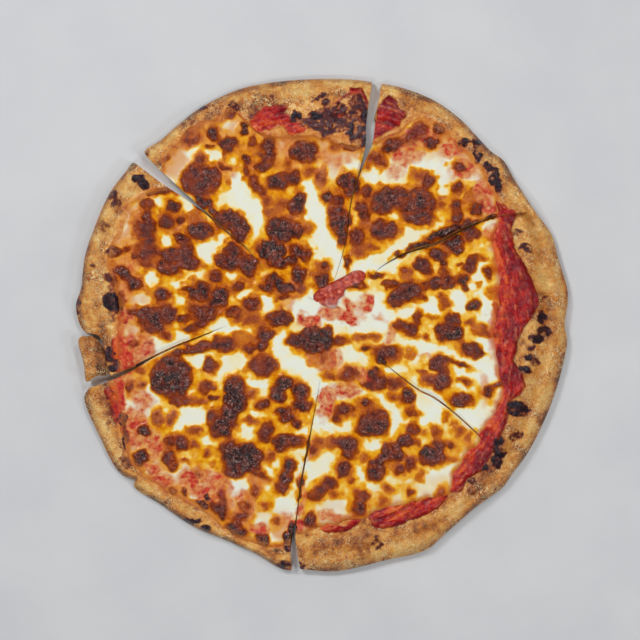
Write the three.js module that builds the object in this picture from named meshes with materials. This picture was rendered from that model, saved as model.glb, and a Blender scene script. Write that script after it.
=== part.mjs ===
// A thin-crust cheese pizza, 12 inches across, cut with six strokes from one meeting point and left
// lying together. Each slice is a wedge of baked crust with a raised rim, a sheet of tomato sauce and a
// sheet of melted, blistered cheese. A block broken off the rim and a strip of tomato lie with them.
// Millimetres, +Z up, the underside at z = 0 and the origin at the middle of the outline.
import * as THREE from "three";

// Thicknesses and gaps.
const BASE_THICKNESS = 4.5;
const SAUCE_THICKNESS = 1;
const SAUCE_EDGE = 0.6; // the sauce thins to this where it ends
const CHEESE_THICKNESS = 2.8;
const CHEESE_EDGE = 0.9; // the cheese thins to this where it ends
const CHEESE_SWELL = 0.35; // how far the open cheese rises and dips
const LAYER_GAP = 0.3;
const CUT_GAP = 0.5; // the width of a cut where the slices touch
const TIP_CLEARANCE = 0.6; // from the meeting point of the cuts to each slice's tip

// The raised rim of the crust.
const CROWN_AT = 0.42; // the rim is highest this share of its width in from the edge
const EDGE_SHARE = 0.5; // the rim's height at its outermost line, as a share of the crown
const RIM_LUMP = 0.9; // how far dough bubbles lift and dent the crown
const RIM_MARGIN = 1; // the toppings end at least this far in from the rim's foot
const UNDERCUT = 2.4; // the rim curves in by this before it meets the floor
const UNDERCUT_TOP = 1.6;
const UNDERCUT_START = 0.7;
const CORNER_BLEND = 7; // the undercut fades along a cut over this distance from the edge

// The grid of each layer: steps from cut to cut, and rows from tip to edge.
const CRUST_STEPS = 19;
const TOPPING_STEPS = 16;
const CHEESE_ROWS = 17;
const COVERED_SAUCE_ROWS = 7; // the sauce's rows under the cheese
const FLAT_ROWS = [0.12, 0.24, 0.36, 0.48, 0.6, 0.71]; // shares of the way out, under the toppings
const RIM_ROWS = [1.25, 1, 0.8, 0.6, 0.42, 0.26, 0.12, 0.03, 0]; // in rim widths from the edge

// The point where all the cuts meet.
const MEETING_POINT = [2.5, 12.5];

// Each cut runs out from the meeting point along shared points, and then, where it opens, along an
// edge of its own for the slice before it and the slice after it, clockwise.
const CUTS = {
  upperLeft: {
    shared: [[-10, 18], [-28, 28.5], [-35, 34], [-45, 46], [-58, 57], [-70, 68]],
    before: [[-79, 74], [-97, 86], [-113, 98]],
    after: [[-80, 77.5], [-96, 92], [-108, 104]],
  },
  top: {
    shared: [[14.2, 50], [18.3, 78], [23.5, 95]],
    before: [[27, 112], [27.5, 125], [31, 151]],
    after: [[31, 112], [33.5, 128], [37, 150]],
  },
  right: {
    shared: [[28, 28], [37, 36.5], [55, 46], [70, 50.5], [90, 61], [108, 67.5], [131.5, 71]],
    before: [],
    after: [],
  },
  lowerRight: {
    shared: [[27, -13], [37, -22], [60, -40], [70, -45], [92, -63], [118.5, -91]],
    before: [],
    after: [],
  },
  bottom: {
    shared: [[0, -25], [-7, -66], [-12.5, -95], [-16, -120]],
    before: [[-16.5, -133], [-13.5, -151]],
    after: [[-19.5, -133], [-19, -152]],
  },
  left: {
    shared: [[-58, 0], [-72, -5.5], [-90, -12.5], [-105, -19.5]],
    before: [[-119, -29], [-133, -37], [-144, -41]],
    after: [[-117, -24.5], [-129.5, -30.5]],
  },
};

// The slices, clockwise from the upper left. outline is the crust's outer line from the first cut to
// the next. cheeseStop and sauceStop are how far the cheese and the sauce end from it, at six even
// places along it.
const SLICES = [
  {
    from: "upperLeft",
    to: "top",
    outline: [[-110, 108], [-100, 115], [-90, 124], [-74, 136], [-50, 147], [-20, 152], [20, 152.5]],
    cheeseStop: [13, 12, 13, 34, 39, 42],
    sauceStop: [9, 9, 12, 13, 11, 9],
  },
  {
    from: "top",
    to: "right",
    outline: [[50, 147.5], [70, 139.5], [86, 128], [95, 118.5], [105, 108], [112, 103], [120, 89.5]],
    cheeseStop: [36, 18, 13, 17, 18, 21],
    sauceStop: [9, 11, 10, 10, 11, 12],
  },
  {
    from: "right",
    to: "lowerRight",
    outline: [[142, 57], [147, 40], [152.5, 20], [150.5, 0], [152, -9], [148, -30], [140, -54], [127, -80]],
    cheeseStop: [22, 35, 43, 40, 30, 30],
    sauceStop: [12, 21, 20, 27, 20, 17],
  },
  {
    from: "lowerRight",
    to: "bottom",
    outline: [[112.5, -100], [95, -113], [75, -130.5], [65, -139], [40, -145.5], [8, -152.5]],
    cheeseStop: [30, 23, 29, 30, 31, 23],
    sauceStop: [17, 12, 18, 19, 24, 20],
  },
  {
    from: "bottom",
    to: "left",
    outline: [
      [-25, -151], [-40, -142], [-60, -133], [-80, -124.5], [-100, -111], [-117, -99.5], [-116, -96],
      [-125, -92], [-138.5, -68], [-147.5, -44],
    ],
    cheeseStop: [18, 9, 12, 11, 13, 18],
    sauceStop: [13, 7, 9, 8.5, 10, 14],
  },
  {
    from: "left",
    to: "upperLeft",
    outline: [
      [-131, -24], [-133.5, -13], [-137, -5], [-148, -3], [-152.5, 12], [-149.5, 23], [-147, 43],
      [-141.5, 60], [-131.5, 82.5], [-122, 95], [-117, 101],
    ],
    cheeseStop: [4, 13, 18, 13, 14, 16],
    sauceStop: [2, 9, 15, 10, 10, 11],
  },
];

// The block broken off the rim at the left, seen from above, and its height.
const CHUNK_OUTLINE = [
  [-150.3, -7.8], [-147.3, -24.8], [-145.6, -34.8], [-139.7, -31.3], [-132.6, -30.2], [-136.3, -13.2],
  [-139.5, -8.4], [-143.2, -6.3],
];
const CHUNK_HEIGHT = 13.5;
const CHUNK_STEPS = 24;
const CHUNK_SHOULDER = 3; // how far its top edges are rounded
const CHUNK_SHOULDER_ROWS = 3;
const CHUNK_CRAG = 0.5;
const CHUNK_UNDERCUT = 1.3;

// The rim's width and crown height round the pizza, by angle from +X in degrees.
const RIM = [
  [-178, 11, 13], [-164, 11, 11], [-150, 9, 9.5], [-122, 8, 9], [-108, 6, 9], [-97, 12, 10.5],
  [-88, 20, 12.5], [-63, 17, 13], [-51, 11, 11.5], [-24, 19, 13.5], [-11, 23, 14], [15, 20, 13.5],
  [28, 11, 12], [55, 9, 10.5], [76, 8, 10.5], [99, 12, 10.5], [123, 8, 9.5], [140, 9, 11.5],
  [162, 9, 12.5], [174, 13, 13.5],
];

// The largest browned blisters of the cheese: centre, radius and height.
const BLISTERS = [
  [-75, 90, 13, 2.4], [-58, 66, 9, 1.8], [-26, 59, 10, 2.2], [-32, 46, 10, 2], [-27, 89, 8, 1.7],
  [-12, 107, 9, 1.8], [-34, 106, 8, 1.6], [12, 65, 7, 1.5], [38, 77, 9, 1.8], [60, 74, 13, 2.4],
  [39, 59, 9, 1.6], [76, 58, 10, 1.8], [81, 49, 9, 1.6], [74, 27, 9, 1.6], [50, 20, 10, 1.8],
  [79, -3, 11, 2.2], [73, -24, 8, 1.6], [75, -34, 7, 1.5], [86, -46, 8, 1.5], [31, -60, 10, 2],
  [17, -75, 7, 1.5], [33, -89, 7, 1.5], [44, -79, 8, 1.6], [68, -80, 10, 1.8], [-93, -32, 14, 2.6],
  [-54, -42, 11, 2.2], [-62, -59, 10, 2.2], [-50, -83, 15, 2.8], [-26, 5, 9, 1.6], [-14, -46, 9, 1.6],
  [-36, -24, 9, 1.4], [-68, -14, 9, 1.5], [-25, -72, 8, 1.5], [-112, -82, 7, 1.5], [-6, -9, 11, 2.2],
  [-104, 4, 12, 2.2], [-75, 22, 11, 2], [-88, 42, 13, 2.4], [-104, 52, 10, 1.8], [-75, 59, 9, 1.8],
  [-58, 40, 10, 2], [-45, 36, 8, 1.6], [-62, 17, 9, 1.6], [-123, 28, 8, 1.8], [-93, 71, 8, 1.6],
];

// The strip of tomato near the middle, along its length, with its greatest width and thickness.
const TOMATO_LINE = [[-4, 15], [7, 20.5], [17, 27.5], [27, 31.5]];
const TOMATO_WIDTH = 11;
const TOMATO_THICKNESS = 2.4;
const TOMATO_EDGE = 0.7;
const TOMATO_CREASE = 0.4;
const TOMATO_END = 0.3; // the share of its width left at each end
const TOMATO_STEPS = 12;
const TOMATO_ROWS = 6;

const finish = {
  crust: { color: 0xc98f52, roughness: 0.85, metalness: 0 },
  sauce: { color: 0xa8301f, roughness: 0.45, metalness: 0 },
  cheese: { color: 0xe2a244, roughness: 0.4, metalness: 0 },
  tomato: { color: 0xb5473c, roughness: 0.4, metalness: 0 },
};

// A smooth curve through [x, y] points, read at an even share of its length.
function curveThrough(points) {
  const vectors = points.map(([x, y]) => new THREE.Vector3(x, y, 0));
  const curve = new THREE.CatmullRomCurve3(vectors, false, "centripetal");
  curve.arcLengthDivisions = 400;
  return (share) => curve.getPointAt(THREE.MathUtils.clamp(share, 0, 1));
}

// The value at a share of the way along a list of evenly placed values.
function alongList(values, share) {
  const place = share * (values.length - 1);
  const low = Math.min(Math.floor(place), values.length - 2);
  return THREE.MathUtils.lerp(values[low], values[low + 1], place - low);
}

// Reads rows of [degrees, a, b, ...] at an angle, going round without a step.
function roundTable(rows) {
  const sorted = [...rows].sort((p, q) => p[0] - q[0]);
  const first = sorted[0];
  const last = sorted[sorted.length - 1];
  const wrapped = [[last[0] - 360, ...last.slice(1)], ...sorted, [first[0] + 360, ...first.slice(1)]];
  return (degrees) => {
    const above = wrapped.findIndex((row) => row[0] > degrees);
    const [low, high] = [wrapped[above - 1], wrapped[above]];
    const share = (degrees - low[0]) / (high[0] - low[0]);
    return low.slice(1).map((value, i) => THREE.MathUtils.lerp(value, high[i + 1], share));
  };
}

const degreesAt = (x, y) => THREE.MathUtils.radToDeg(Math.atan2(y, x));

// How far the whole pizza reaches at each angle: the slices' outer lines, with the broken block's
// outer side across the notch that it left.
const isNotch = ([x, y]) => x > -140 && x < -129 && y > -31 && y < 0;
const outerPoints = SLICES.flatMap((slice) => slice.outline)
  .filter((point) => !isNotch(point))
  .concat(CHUNK_OUTLINE.slice(0, 3));
const reachAt = roundTable(outerPoints.map(([x, y]) => [degreesAt(x, y), Math.hypot(x, y)]));
const rimAt = roundTable(RIM);

// Shallow dough bubbles, as a smooth value between -1 and 1.
function bubbles(x, y) {
  return (Math.sin(x / 7 + 1.3 * Math.sin(y / 9)) + Math.sin(y / 8 + 1.7 * Math.sin(x / 11))) / 2;
}

// The height of the bare crust: flat under the toppings, rising to the crown and down to the edge.
function crustTop(x, y) {
  const [reach] = reachAt(degreesAt(x, y));
  const [width, crown] = rimAt(degreesAt(x, y));
  const inward = Math.max(0, reach - Math.hypot(x, y)) / width;
  if (inward >= 1) return BASE_THICKNESS;
  const lump = RIM_LUMP * bubbles(x, y);
  if (inward < CROWN_AT) {
    const rise = Math.sin((Math.PI / 2) * (inward / CROWN_AT));
    return crown * THREE.MathUtils.lerp(EDGE_SHARE, 1, rise) + lump * rise;
  }
  const fall = 0.5 + 0.5 * Math.cos((Math.PI * (inward - CROWN_AT)) / (1 - CROWN_AT));
  return THREE.MathUtils.lerp(BASE_THICKNESS, crown + lump, fall);
}

// Whether a point lies on the rim's slope or within a millimetre of its foot.
function isOnRim({ x, y }) {
  const [reach] = reachAt(degreesAt(x, y));
  const [width] = rimAt(degreesAt(x, y));
  return reach - Math.hypot(x, y) < width + RIM_MARGIN;
}

// The thickness of the cheese: an uneven sheet with round blisters.
function cheeseThickness(x, y) {
  const swell = CHEESE_SWELL * bubbles(x * 1.4 + 20, y * 1.4);
  const blister = BLISTERS.reduce((most, [bx, by, radius, height]) => {
    const share = Math.hypot(x - bx, y - by) / radius;
    return share < 1 ? Math.max(most, height * (1 - share * share)) : most;
  }, 0);
  return CHEESE_THICKNESS + swell + blister;
}

// One side of a cut: its shared points moved half the cut's width to that side, then its own points.
function sideOfCut(cut, side, own) {
  const route = [MEETING_POINT, ...cut.shared, ...own];
  const moved = cut.shared.map(([x, y], i) => {
    const [fromX, fromY] = route[i];
    const [toX, toY] = route[i + 2] ?? route[i + 1];
    const scale = (side * CUT_GAP) / 2 / Math.hypot(toX - fromX, toY - fromY);
    return [x + (toY - fromY) * scale, y - (toX - fromX) * scale];
  });
  return [...moved, ...own];
}

// A slice's plan: place(across, out) is the point at a share of the way from its first cut to its
// second and from its tip to its outer line, and length(across) is how far that outer line is.
function planOf(slice) {
  const firstPoints = sideOfCut(CUTS[slice.from], 1, CUTS[slice.from].after);
  const secondPoints = sideOfCut(CUTS[slice.to], -1, CUTS[slice.to].before);
  const meeting = new THREE.Vector2(...MEETING_POINT);
  const towards = (point) => new THREE.Vector2(...point).sub(meeting).normalize();
  const middle = towards(firstPoints[0]).add(towards(secondPoints[0])).setLength(TIP_CLEARANCE);
  const tip = meeting.add(middle).toArray();
  const firstSide = curveThrough([tip, ...firstPoints]);
  const secondSide = curveThrough([tip, ...secondPoints]);
  const outer = curveThrough([firstPoints.at(-1), ...slice.outline, secondPoints.at(-1)]);
  const place = (across, out) => {
    const straight = firstSide(1).lerp(secondSide(1), across);
    const bulge = outer(across).sub(straight).multiplyScalar(out);
    return firstSide(out).lerp(secondSide(out), across).add(bulge);
  };
  const length = (across) => outer(across).distanceTo(new THREE.Vector3(...tip, 0));
  const middlePoint = place(0.5, 0.5);
  return { tip, place, length, hub: [middlePoint.x, middlePoint.y] };
}

function geometryOf(points, triangles) {
  const geometry = new THREE.BufferGeometry();
  geometry.setAttribute("position", new THREE.Float32BufferAttribute(points.flat(), 3));
  geometry.setIndex(triangles.flat());
  geometry.computeVertexNormals();
  return geometry;
}

// A closed solid under a grid of [x, y, z] rows. A tip, where given, is joined to the first row. Each
// skirt moves the grid's outer loop to the next loop down, and the last loop is closed by a flat face
// that fans out from the hub. outer is 1 on the last row and fades along the sides, away from it.
function solidUnder(rows, skirts, hub, tip) {
  const points = tip ? [tip] : [];
  const triangles = [];
  const start = points.length;
  const steps = rows[0].length;
  rows.forEach((row) => points.push(...row));
  const at = (row, step) => start + row * steps + step;
  for (let step = 0; step < steps - 1; step++) {
    if (tip) triangles.push([0, at(0, step + 1), at(0, step)]);
    for (let row = 0; row < rows.length - 1; row++) {
      triangles.push([at(row, step), at(row, step + 1), at(row + 1, step + 1)]);
      triangles.push([at(row, step), at(row + 1, step + 1), at(row + 1, step)]);
    }
  }
  const lastRow = rows.length - 1;
  const corner = (row, step) => {
    const [x, y] = points[at(row, step)];
    const [cornerX, cornerY] = points[at(lastRow, step)];
    const outer = Math.max(0, 1 - Math.hypot(x - cornerX, y - cornerY) / CORNER_BLEND);
    return { index: at(row, step), outer };
  };
  let loop = tip ? [{ index: 0, outer: 0 }] : [];
  if (!tip) for (let step = 0; step < steps - 1; step++) loop.push({ index: at(0, step), outer: 0 });
  for (let row = 0; row < lastRow; row++) loop.push(corner(row, steps - 1));
  for (let step = steps - 1; step >= 0; step--) loop.push({ index: at(lastRow, step), outer: 1 });
  for (let row = lastRow - 1; row > (tip ? -1 : 0); row--) loop.push(corner(row, 0));
  skirts.forEach((skirt) => {
    const lower = loop.map(({ index, outer }) => {
      points.push(skirt(points[index], outer));
      return { index: points.length - 1, outer };
    });
    loop.forEach(({ index }, i) => {
      const next = (i + 1) % loop.length;
      triangles.push([index, lower[i].index, lower[next].index]);
      triangles.push([index, lower[next].index, loop[next].index]);
    });
    loop = lower;
  });
  const floor = points.at(-1)[2];
  points.push([...hub, floor]);
  loop.forEach(({ index }, i) => {
    triangles.push([points.length - 1, loop[(i + 1) % loop.length].index, index]);
  });
  return geometryOf(points, triangles);
}

const dropTo = (z) => ([x, y]) => [x, y, z];

// Moves a point of the outer line towards the meeting point of the cuts and down to z.
const tuckTo = (inset, z) => ([x, y], outer) => {
  const [meetX, meetY] = MEETING_POINT;
  const share = (outer * inset) / Math.hypot(x - meetX, y - meetY);
  return [THREE.MathUtils.lerp(x, meetX, share), THREE.MathUtils.lerp(y, meetY, share), z];
};

const evenShares = (steps) => Array.from({ length: steps + 1 }, (_, i) => i / steps);

function crustGeometry(plan) {
  const shares = evenShares(CRUST_STEPS);
  const rowAt = (outAt) =>
    shares.map((across) => {
      const { x, y } = plan.place(across, outAt(across));
      return [x, y, crustTop(x, y)];
    });
  const widthAt = (across) => {
    const { x, y } = plan.place(across, 1);
    return rimAt(degreesAt(x, y))[0];
  };
  const rows = [
    ...FLAT_ROWS.map((share) => rowAt(() => share)),
    ...RIM_ROWS.map((widths) =>
      rowAt((across) => 1 - (widths * widthAt(across)) / plan.length(across)),
    ),
  ];
  const skirts = [tuckTo(UNDERCUT_START, UNDERCUT_TOP), tuckTo(UNDERCUT - UNDERCUT_START, 0)];
  return solidUnder(rows, skirts, plan.hub, [...plan.tip, BASE_THICKNESS]);
}

// The share of the way out at which a topping stops: the listed distance from the outer line, or
// the foot of the rim where that is further in.
function stopAt(plan, stops, across) {
  const stopped = 1 - alongList(stops, across) / plan.length(across);
  let out = stopped;
  while (isOnRim(plan.place(across, out))) out -= 0.004;
  return out;
}

function sauceGeometry(plan, slice) {
  const shares = evenShares(TOPPING_STEPS);
  const rowAt = (share, bare, thickness) =>
    shares.map((across) => {
      const from = stopAt(plan, slice.cheeseStop, across) * share;
      const to = stopAt(plan, slice.sauceStop, across);
      const { x, y } = plan.place(across, THREE.MathUtils.lerp(from, to, bare));
      return [x, y, thickness];
    });
  const covered = evenShares(COVERED_SAUCE_ROWS).slice(1);
  const rows = covered.map((share) => rowAt(share, 0, SAUCE_THICKNESS));
  rows.push(rowAt(1, 0.5, SAUCE_THICKNESS), rowAt(1, 1, SAUCE_EDGE));
  return solidUnder(rows, [dropTo(0)], plan.hub, [...plan.tip, SAUCE_THICKNESS]);
}

function cheeseGeometry(plan, slice) {
  const shares = evenShares(TOPPING_STEPS);
  const rows = [];
  for (let row = 1; row <= CHEESE_ROWS; row++) {
    rows.push(
      shares.map((across) => {
        const out = (stopAt(plan, slice.cheeseStop, across) * row) / CHEESE_ROWS;
        const { x, y } = plan.place(across, out);
        return [x, y, row === CHEESE_ROWS ? CHEESE_EDGE : cheeseThickness(x, y)];
      }),
    );
  }
  return solidUnder(rows, [dropTo(0)], plan.hub, [...plan.tip, CHEESE_THICKNESS]);
}

// The broken block: its outline drawn in towards its middle as it rounds over at the top.
function chunkGeometry() {
  const outline = curveThrough([...CHUNK_OUTLINE, CHUNK_OUTLINE[0]]);
  const loop = evenShares(CHUNK_STEPS).slice(0, -1).map(outline);
  const middle = loop.reduce((sum, point) => sum.add(point), new THREE.Vector3()).divideScalar(loop.length);
  const ring = (inset, z, crag) =>
    loop.map((point) => {
      const inward = middle.clone().sub(point).setLength(inset);
      return [point.x + inward.x, point.y + inward.y, z + crag * bubbles(point.x * 2, point.y * 2)];
    });
  const rings = evenShares(CHUNK_SHOULDER_ROWS).map((share) => {
    const angle = (share * Math.PI) / 2;
    const drop = CHUNK_SHOULDER * (1 - Math.cos(angle));
    return ring(CHUNK_SHOULDER * (1 - Math.sin(angle)), CHUNK_HEIGHT - drop, CHUNK_CRAG);
  });
  rings.push(ring(UNDERCUT_START, UNDERCUT_TOP, 0), ring(CHUNK_UNDERCUT, 0, 0));
  const points = [[middle.x, middle.y, CHUNK_HEIGHT], ...rings.flat(), [middle.x, middle.y, 0]];
  const at = (row, step) => 1 + row * CHUNK_STEPS + (step % CHUNK_STEPS);
  const triangles = [];
  for (let step = 0; step < CHUNK_STEPS; step++) {
    triangles.push([0, at(0, step), at(0, step + 1)]);
    for (let row = 0; row < rings.length - 1; row++) {
      triangles.push([at(row, step), at(row + 1, step), at(row + 1, step + 1)]);
      triangles.push([at(row, step), at(row + 1, step + 1), at(row, step + 1)]);
    }
    triangles.push([points.length - 1, at(rings.length - 1, step + 1), at(rings.length - 1, step)]);
  }
  return geometryOf(points, triangles);
}

// The strip of tomato: wide in the middle, with a crease along it and thin edges.
function tomatoGeometry() {
  const line = curveThrough(TOMATO_LINE);
  const nudge = 0.01;
  const rows = evenShares(TOMATO_ROWS).map((across) =>
    evenShares(TOMATO_STEPS).map((along) => {
      const point = line(along);
      const ahead = line(along + nudge).sub(line(along - nudge)).normalize();
      const taper = Math.sqrt(Math.max(TOMATO_END ** 2, 1 - (2 * along - 1) ** 4));
      const side = (across - 0.5) * TOMATO_WIDTH * taper;
      const crest = Math.sin(Math.PI * across) * taper;
      const crease = TOMATO_CREASE * Math.cos(4 * Math.PI * across) * crest;
      const z = THREE.MathUtils.lerp(TOMATO_EDGE, TOMATO_THICKNESS, crest) - crease;
      return [point.x - ahead.y * side, point.y + ahead.x * side, z];
    }),
  );
  const middle = line(0.5);
  return solidUnder(rows, [dropTo(0)], [middle.x, middle.y]);
}

function addMesh(parent, name, geometry, look, z = 0) {
  const mesh = new THREE.Mesh(geometry, new THREE.MeshStandardMaterial(look));
  mesh.name = name;
  mesh.position.z = z;
  parent.add(mesh);
}

const SAUCE_Z = BASE_THICKNESS + LAYER_GAP;
const CHEESE_Z = SAUCE_Z + SAUCE_THICKNESS + LAYER_GAP;
const TOMATO_Z = CHEESE_Z + CHEESE_THICKNESS + CHEESE_SWELL + LAYER_GAP;

const pizza = new THREE.Group();
SLICES.forEach((slice, i) => {
  const plan = planOf(slice);
  const wedge = new THREE.Group();
  addMesh(wedge, `crust_${i + 1}`, crustGeometry(plan), finish.crust);
  addMesh(wedge, `sauce_${i + 1}`, sauceGeometry(plan, slice), finish.sauce, SAUCE_Z);
  addMesh(wedge, `cheese_${i + 1}`, cheeseGeometry(plan, slice), finish.cheese, CHEESE_Z);
  pizza.add(wedge);
});
addMesh(pizza, "crust_chunk", chunkGeometry(), finish.crust);
addMesh(pizza, "tomato_piece", tomatoGeometry(), finish.tomato, TOMATO_Z);

export default pizza;
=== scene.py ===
import math

import bpy
import mathutils
import numpy as np
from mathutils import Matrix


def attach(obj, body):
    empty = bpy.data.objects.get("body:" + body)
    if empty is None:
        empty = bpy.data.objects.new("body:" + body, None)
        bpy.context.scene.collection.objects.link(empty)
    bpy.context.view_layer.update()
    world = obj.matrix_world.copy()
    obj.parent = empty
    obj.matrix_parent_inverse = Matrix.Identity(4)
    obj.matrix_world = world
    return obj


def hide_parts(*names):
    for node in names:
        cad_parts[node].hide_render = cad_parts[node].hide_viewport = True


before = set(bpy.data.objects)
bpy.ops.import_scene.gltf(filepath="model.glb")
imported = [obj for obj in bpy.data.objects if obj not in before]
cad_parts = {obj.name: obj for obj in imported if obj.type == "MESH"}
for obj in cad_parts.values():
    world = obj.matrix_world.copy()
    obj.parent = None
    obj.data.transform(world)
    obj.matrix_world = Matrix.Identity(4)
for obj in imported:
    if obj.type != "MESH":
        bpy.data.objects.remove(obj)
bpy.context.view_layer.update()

MM = 0.001
SEED = 7

# ---------------------------------------------------------------------------------------------------
# The plan: cuts, outlines and edges, as read

MEETING_POINT = (2.5, 12.5)

# Points of each cut as (x, y, opening), then each side's own points where the slices part: "before"
# for the slice before the cut and "after" for the slice after it, clockwise.
CUTS = {
    "upperLeft": {
        "shared": [
            (-10, 18, 0), (-28, 28.5, 0.1), (-35, 34, 0.2), (-45, 46, 0.5), (-58, 57, 1), (-70, 68, 1),
        ],
        "before": [(-79, 74), (-97, 86), (-113, 98)],
        "after": [(-80, 77.5), (-96, 92), (-108, 104)],
    },
    "top": {
        "shared": [(14.2, 50, 0.3), (18.3, 78, 0.6), (23.5, 95, 1)],
        "before": [(27, 112), (27.5, 125), (31, 151)],
        "after": [(31, 112), (33.5, 128), (37, 150)],
    },
    "right": {
        "shared": [
            (28, 28, 0), (37, 36.5, 0.3), (55, 46, 1.1), (70, 50.5, 1.3), (90, 61, 1.2), (108, 67.5, 0.8),
            (131.5, 71, 0.4),
        ],
        "before": [],
        "after": [],
    },
    "lowerRight": {
        "shared": [
            (27, -13, 0), (37, -22, 0.2), (60, -40, 0.8), (70, -45, 0.8), (92, -63, 0.6), (118.5, -91, 0.3),
        ],
        "before": [],
        "after": [],
    },
    "bottom": {
        "shared": [(0, -25, 0), (-7, -66, 0.5), (-12.5, -95, 0.8), (-16, -120, 0.5)],
        "before": [(-16.5, -133), (-13.5, -151)],
        "after": [(-19.5, -133), (-19, -152)],
    },
    "left": {
        "shared": [(-58, 0, 0), (-72, -5.5, 0.5), (-90, -12.5, 0.9), (-105, -19.5, 1)],
        "before": [(-119, -28.6), (-133, -35), (-144, -38.6)],
        "after": [(-117, -24.9), (-131, -31)],
    },
}

# The slices, clockwise from the upper left: the crust's outer line, where the cheese ends, where the
# sauce ends, how golden the open cheese is, how toasted its edge is, and how far the crust stays
# raised under that edge.
SLICES = [
    {
        "cuts": ("upperLeft", "top"),
        "outline": [(-110, 108), (-100, 115), (-90, 124), (-74, 136), (-50, 147), (-20, 152), (20, 152.5)],
        "cheese": [
            (-99, 97), (-99, 104), (-90, 112), (-84, 122), (-74, 127), (-64, 127), (-58, 136), (-51, 132),
            (-44, 123), (-37, 119), (-29, 118), (-21, 117.5), (-8, 118), (2, 117), (11, 113), (20, 112),
            (26, 109),
        ],
        "sauce": [
            (-101, 99), (-101, 107), (-92, 115), (-87, 123), (-76, 129), (-60, 138), (-46, 131), (-38, 136),
            (-25, 138.5), (-14, 139), (-2, 140), (8, 141), (17, 148), (25, 147), (29, 139),
        ],
        "gold": 0.34,
        "toasted_edge": 0.42,
        "bank": 1.0,
    },
    {
        "cuts": ("top", "right"),
        "outline": [(50, 147.5), (70, 139.5), (86, 128), (95, 118.5), (105, 108), (112, 103), (120, 89.5)],
        "cheese": [
            (34, 114), (40, 118), (49, 121), (54, 127), (62, 129), (71, 127), (78, 121), (84, 113),
            (92, 108), (98, 100), (105, 89), (110, 78), (109, 70),
        ],
        "sauce": [
            (37, 140), (42, 144), (50, 139), (58, 134), (68, 131), (79, 125), (87, 117), (94, 105),
            (101, 96), (108, 86), (115, 76), (121, 69),
        ],
        "gold": 0.34,
        "toasted_edge": 0.34,
        "bank": 0.9,
    },
    {
        "cuts": ("right", "lowerRight"),
        "outline": [
            (142, 57), (147, 40), (152.5, 20), (150.5, 0), (152, -9), (148, -30), (140, -54), (127, -80),
        ],
        "cheese": [
            (111, 66), (107.5, 57), (106, 50), (108.5, 40), (110.5, 30), (110.5, 20), (110, 10), (107.5, 0),
            (107.5, -10), (109, -20), (110, -32), (114, -38), (112, -46), (107, -55), (99, -66),
        ],
        "sauce": [
            (121, 68), (118, 60), (120.4, 48), (126, 38.7), (130.7, 28.5), (134.8, 18), (135, 12),
            (130.7, 4.5), (124.5, -3.7), (121.8, -9), (121, -16), (119.8, -22.8), (124.5, -29.6),
            (126.9, -38.5), (122.5, -43.3), (117, -48), (115, -60), (109, -74),
        ],
        "gold": 0.26,
        "toasted_edge": 0.14,
        "bank": 0.0,
    },
    {
        "cuts": ("lowerRight", "bottom"),
        "outline": [(112.5, -100), (95, -113), (75, -130.5), (65, -139), (40, -145.5), (8, -152.5)],
        "cheese": [
            (99, -67), (98, -75), (91, -77.5), (87, -86), (80.5, -93), (82, -100), (77, -106), (64, -108),
            (48, -112), (34, -115), (27, -120), (17, -120.5), (8, -124), (0, -124), (-8, -128), (-16, -130),
        ],
        "sauce": [
            (109, -73), (106.5, -80), (99, -90.5), (91, -96), (87, -103), (78, -109), (66, -118),
            (54.5, -122), (43.6, -125.5), (34, -127), (26, -123), (18, -126.5), (13, -129.5), (5, -129),
            (-3, -130), (-17, -132),
        ],
        "gold": 0.29,
        "toasted_edge": 0.2,
        "bank": 0.35,
    },
    {
        "cuts": ("bottom", "left"),
        "outline": [
            (-25, -151), (-40, -142), (-60, -133), (-80, -124.5), (-100, -111), (-117, -99.5), (-116, -96),
            (-125, -92), (-138.5, -68), (-147.5, -44),
        ],
        "cheese": [
            (-22, -137), (-32, -138), (-43, -135), (-57, -129), (-66, -121), (-77, -113), (-88, -108),
            (-100, -101), (-112, -93), (-119, -84), (-124, -70), (-127, -55), (-130, -40),
        ],
        "sauce": [
            (-23, -140), (-34, -141), (-48, -135), (-61, -129), (-71, -120), (-82, -113), (-95, -108),
            (-107, -100), (-116, -91), (-124, -81), (-129, -64), (-133, -48), (-136, -38),
        ],
        "gold": 0.31,
        "toasted_edge": 0.34,
        "bank": 1.0,
    },
    {
        "cuts": ("left", "upperLeft"),
        "outline": [
            (-133, -25), (-135.4, -13), (-138.5, -6.3), (-148, -3), (-152.5, 12), (-149.5, 23), (-147, 43),
            (-141.5, 60), (-131.5, 82.5), (-122, 95), (-117, 101),
        ],
        "cheese": [
            (-127.5, -28), (-128.5, -18), (-129, -8), (-127, 1), (-126, 10), (-127.5, 20), (-131, 30),
            (-134, 42), (-131, 50), (-126, 58), (-124.5, 66), (-120, 76), (-112, 80.5), (-104, 86),
            (-97, 85),
        ],
        "sauce": [
            (-129, -29), (-131.5, -18), (-131, -8), (-130.5, 2), (-131, 10), (-132, 20), (-133, 30),
            (-135.5, 42), (-133, 51), (-128, 60), (-126.5, 68), (-122, 78), (-113, 83), (-105, 88),
            (-99, 87),
        ],
        "gold": 0.37,
        "toasted_edge": 0.3,
        "bank": 1.0,
    },
]

CHUNK_OUTLINE = [
    (-150.3, -7.8), (-147.3, -24.8), (-145.6, -34.8), (-139.7, -31.3), (-132.6, -30.2), (-136.3, -13.2),
    (-139.5, -8.4), (-143.2, -6.3),
]

TOMATO_OUTLINE = [
    (-5, 16), (-2.4, 14.2), (4.5, 10.9), (8.4, 11), (10.2, 16), (13.4, 18.8), (14.3, 21.8), (17, 23.8),
    (22, 25.8), (26.3, 28.3), (27.2, 31.6), (23.7, 34), (19.3, 33.6), (13.2, 30.3), (8, 27.7), (0.6, 24.2),
    (-5, 19.2),
]

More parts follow.
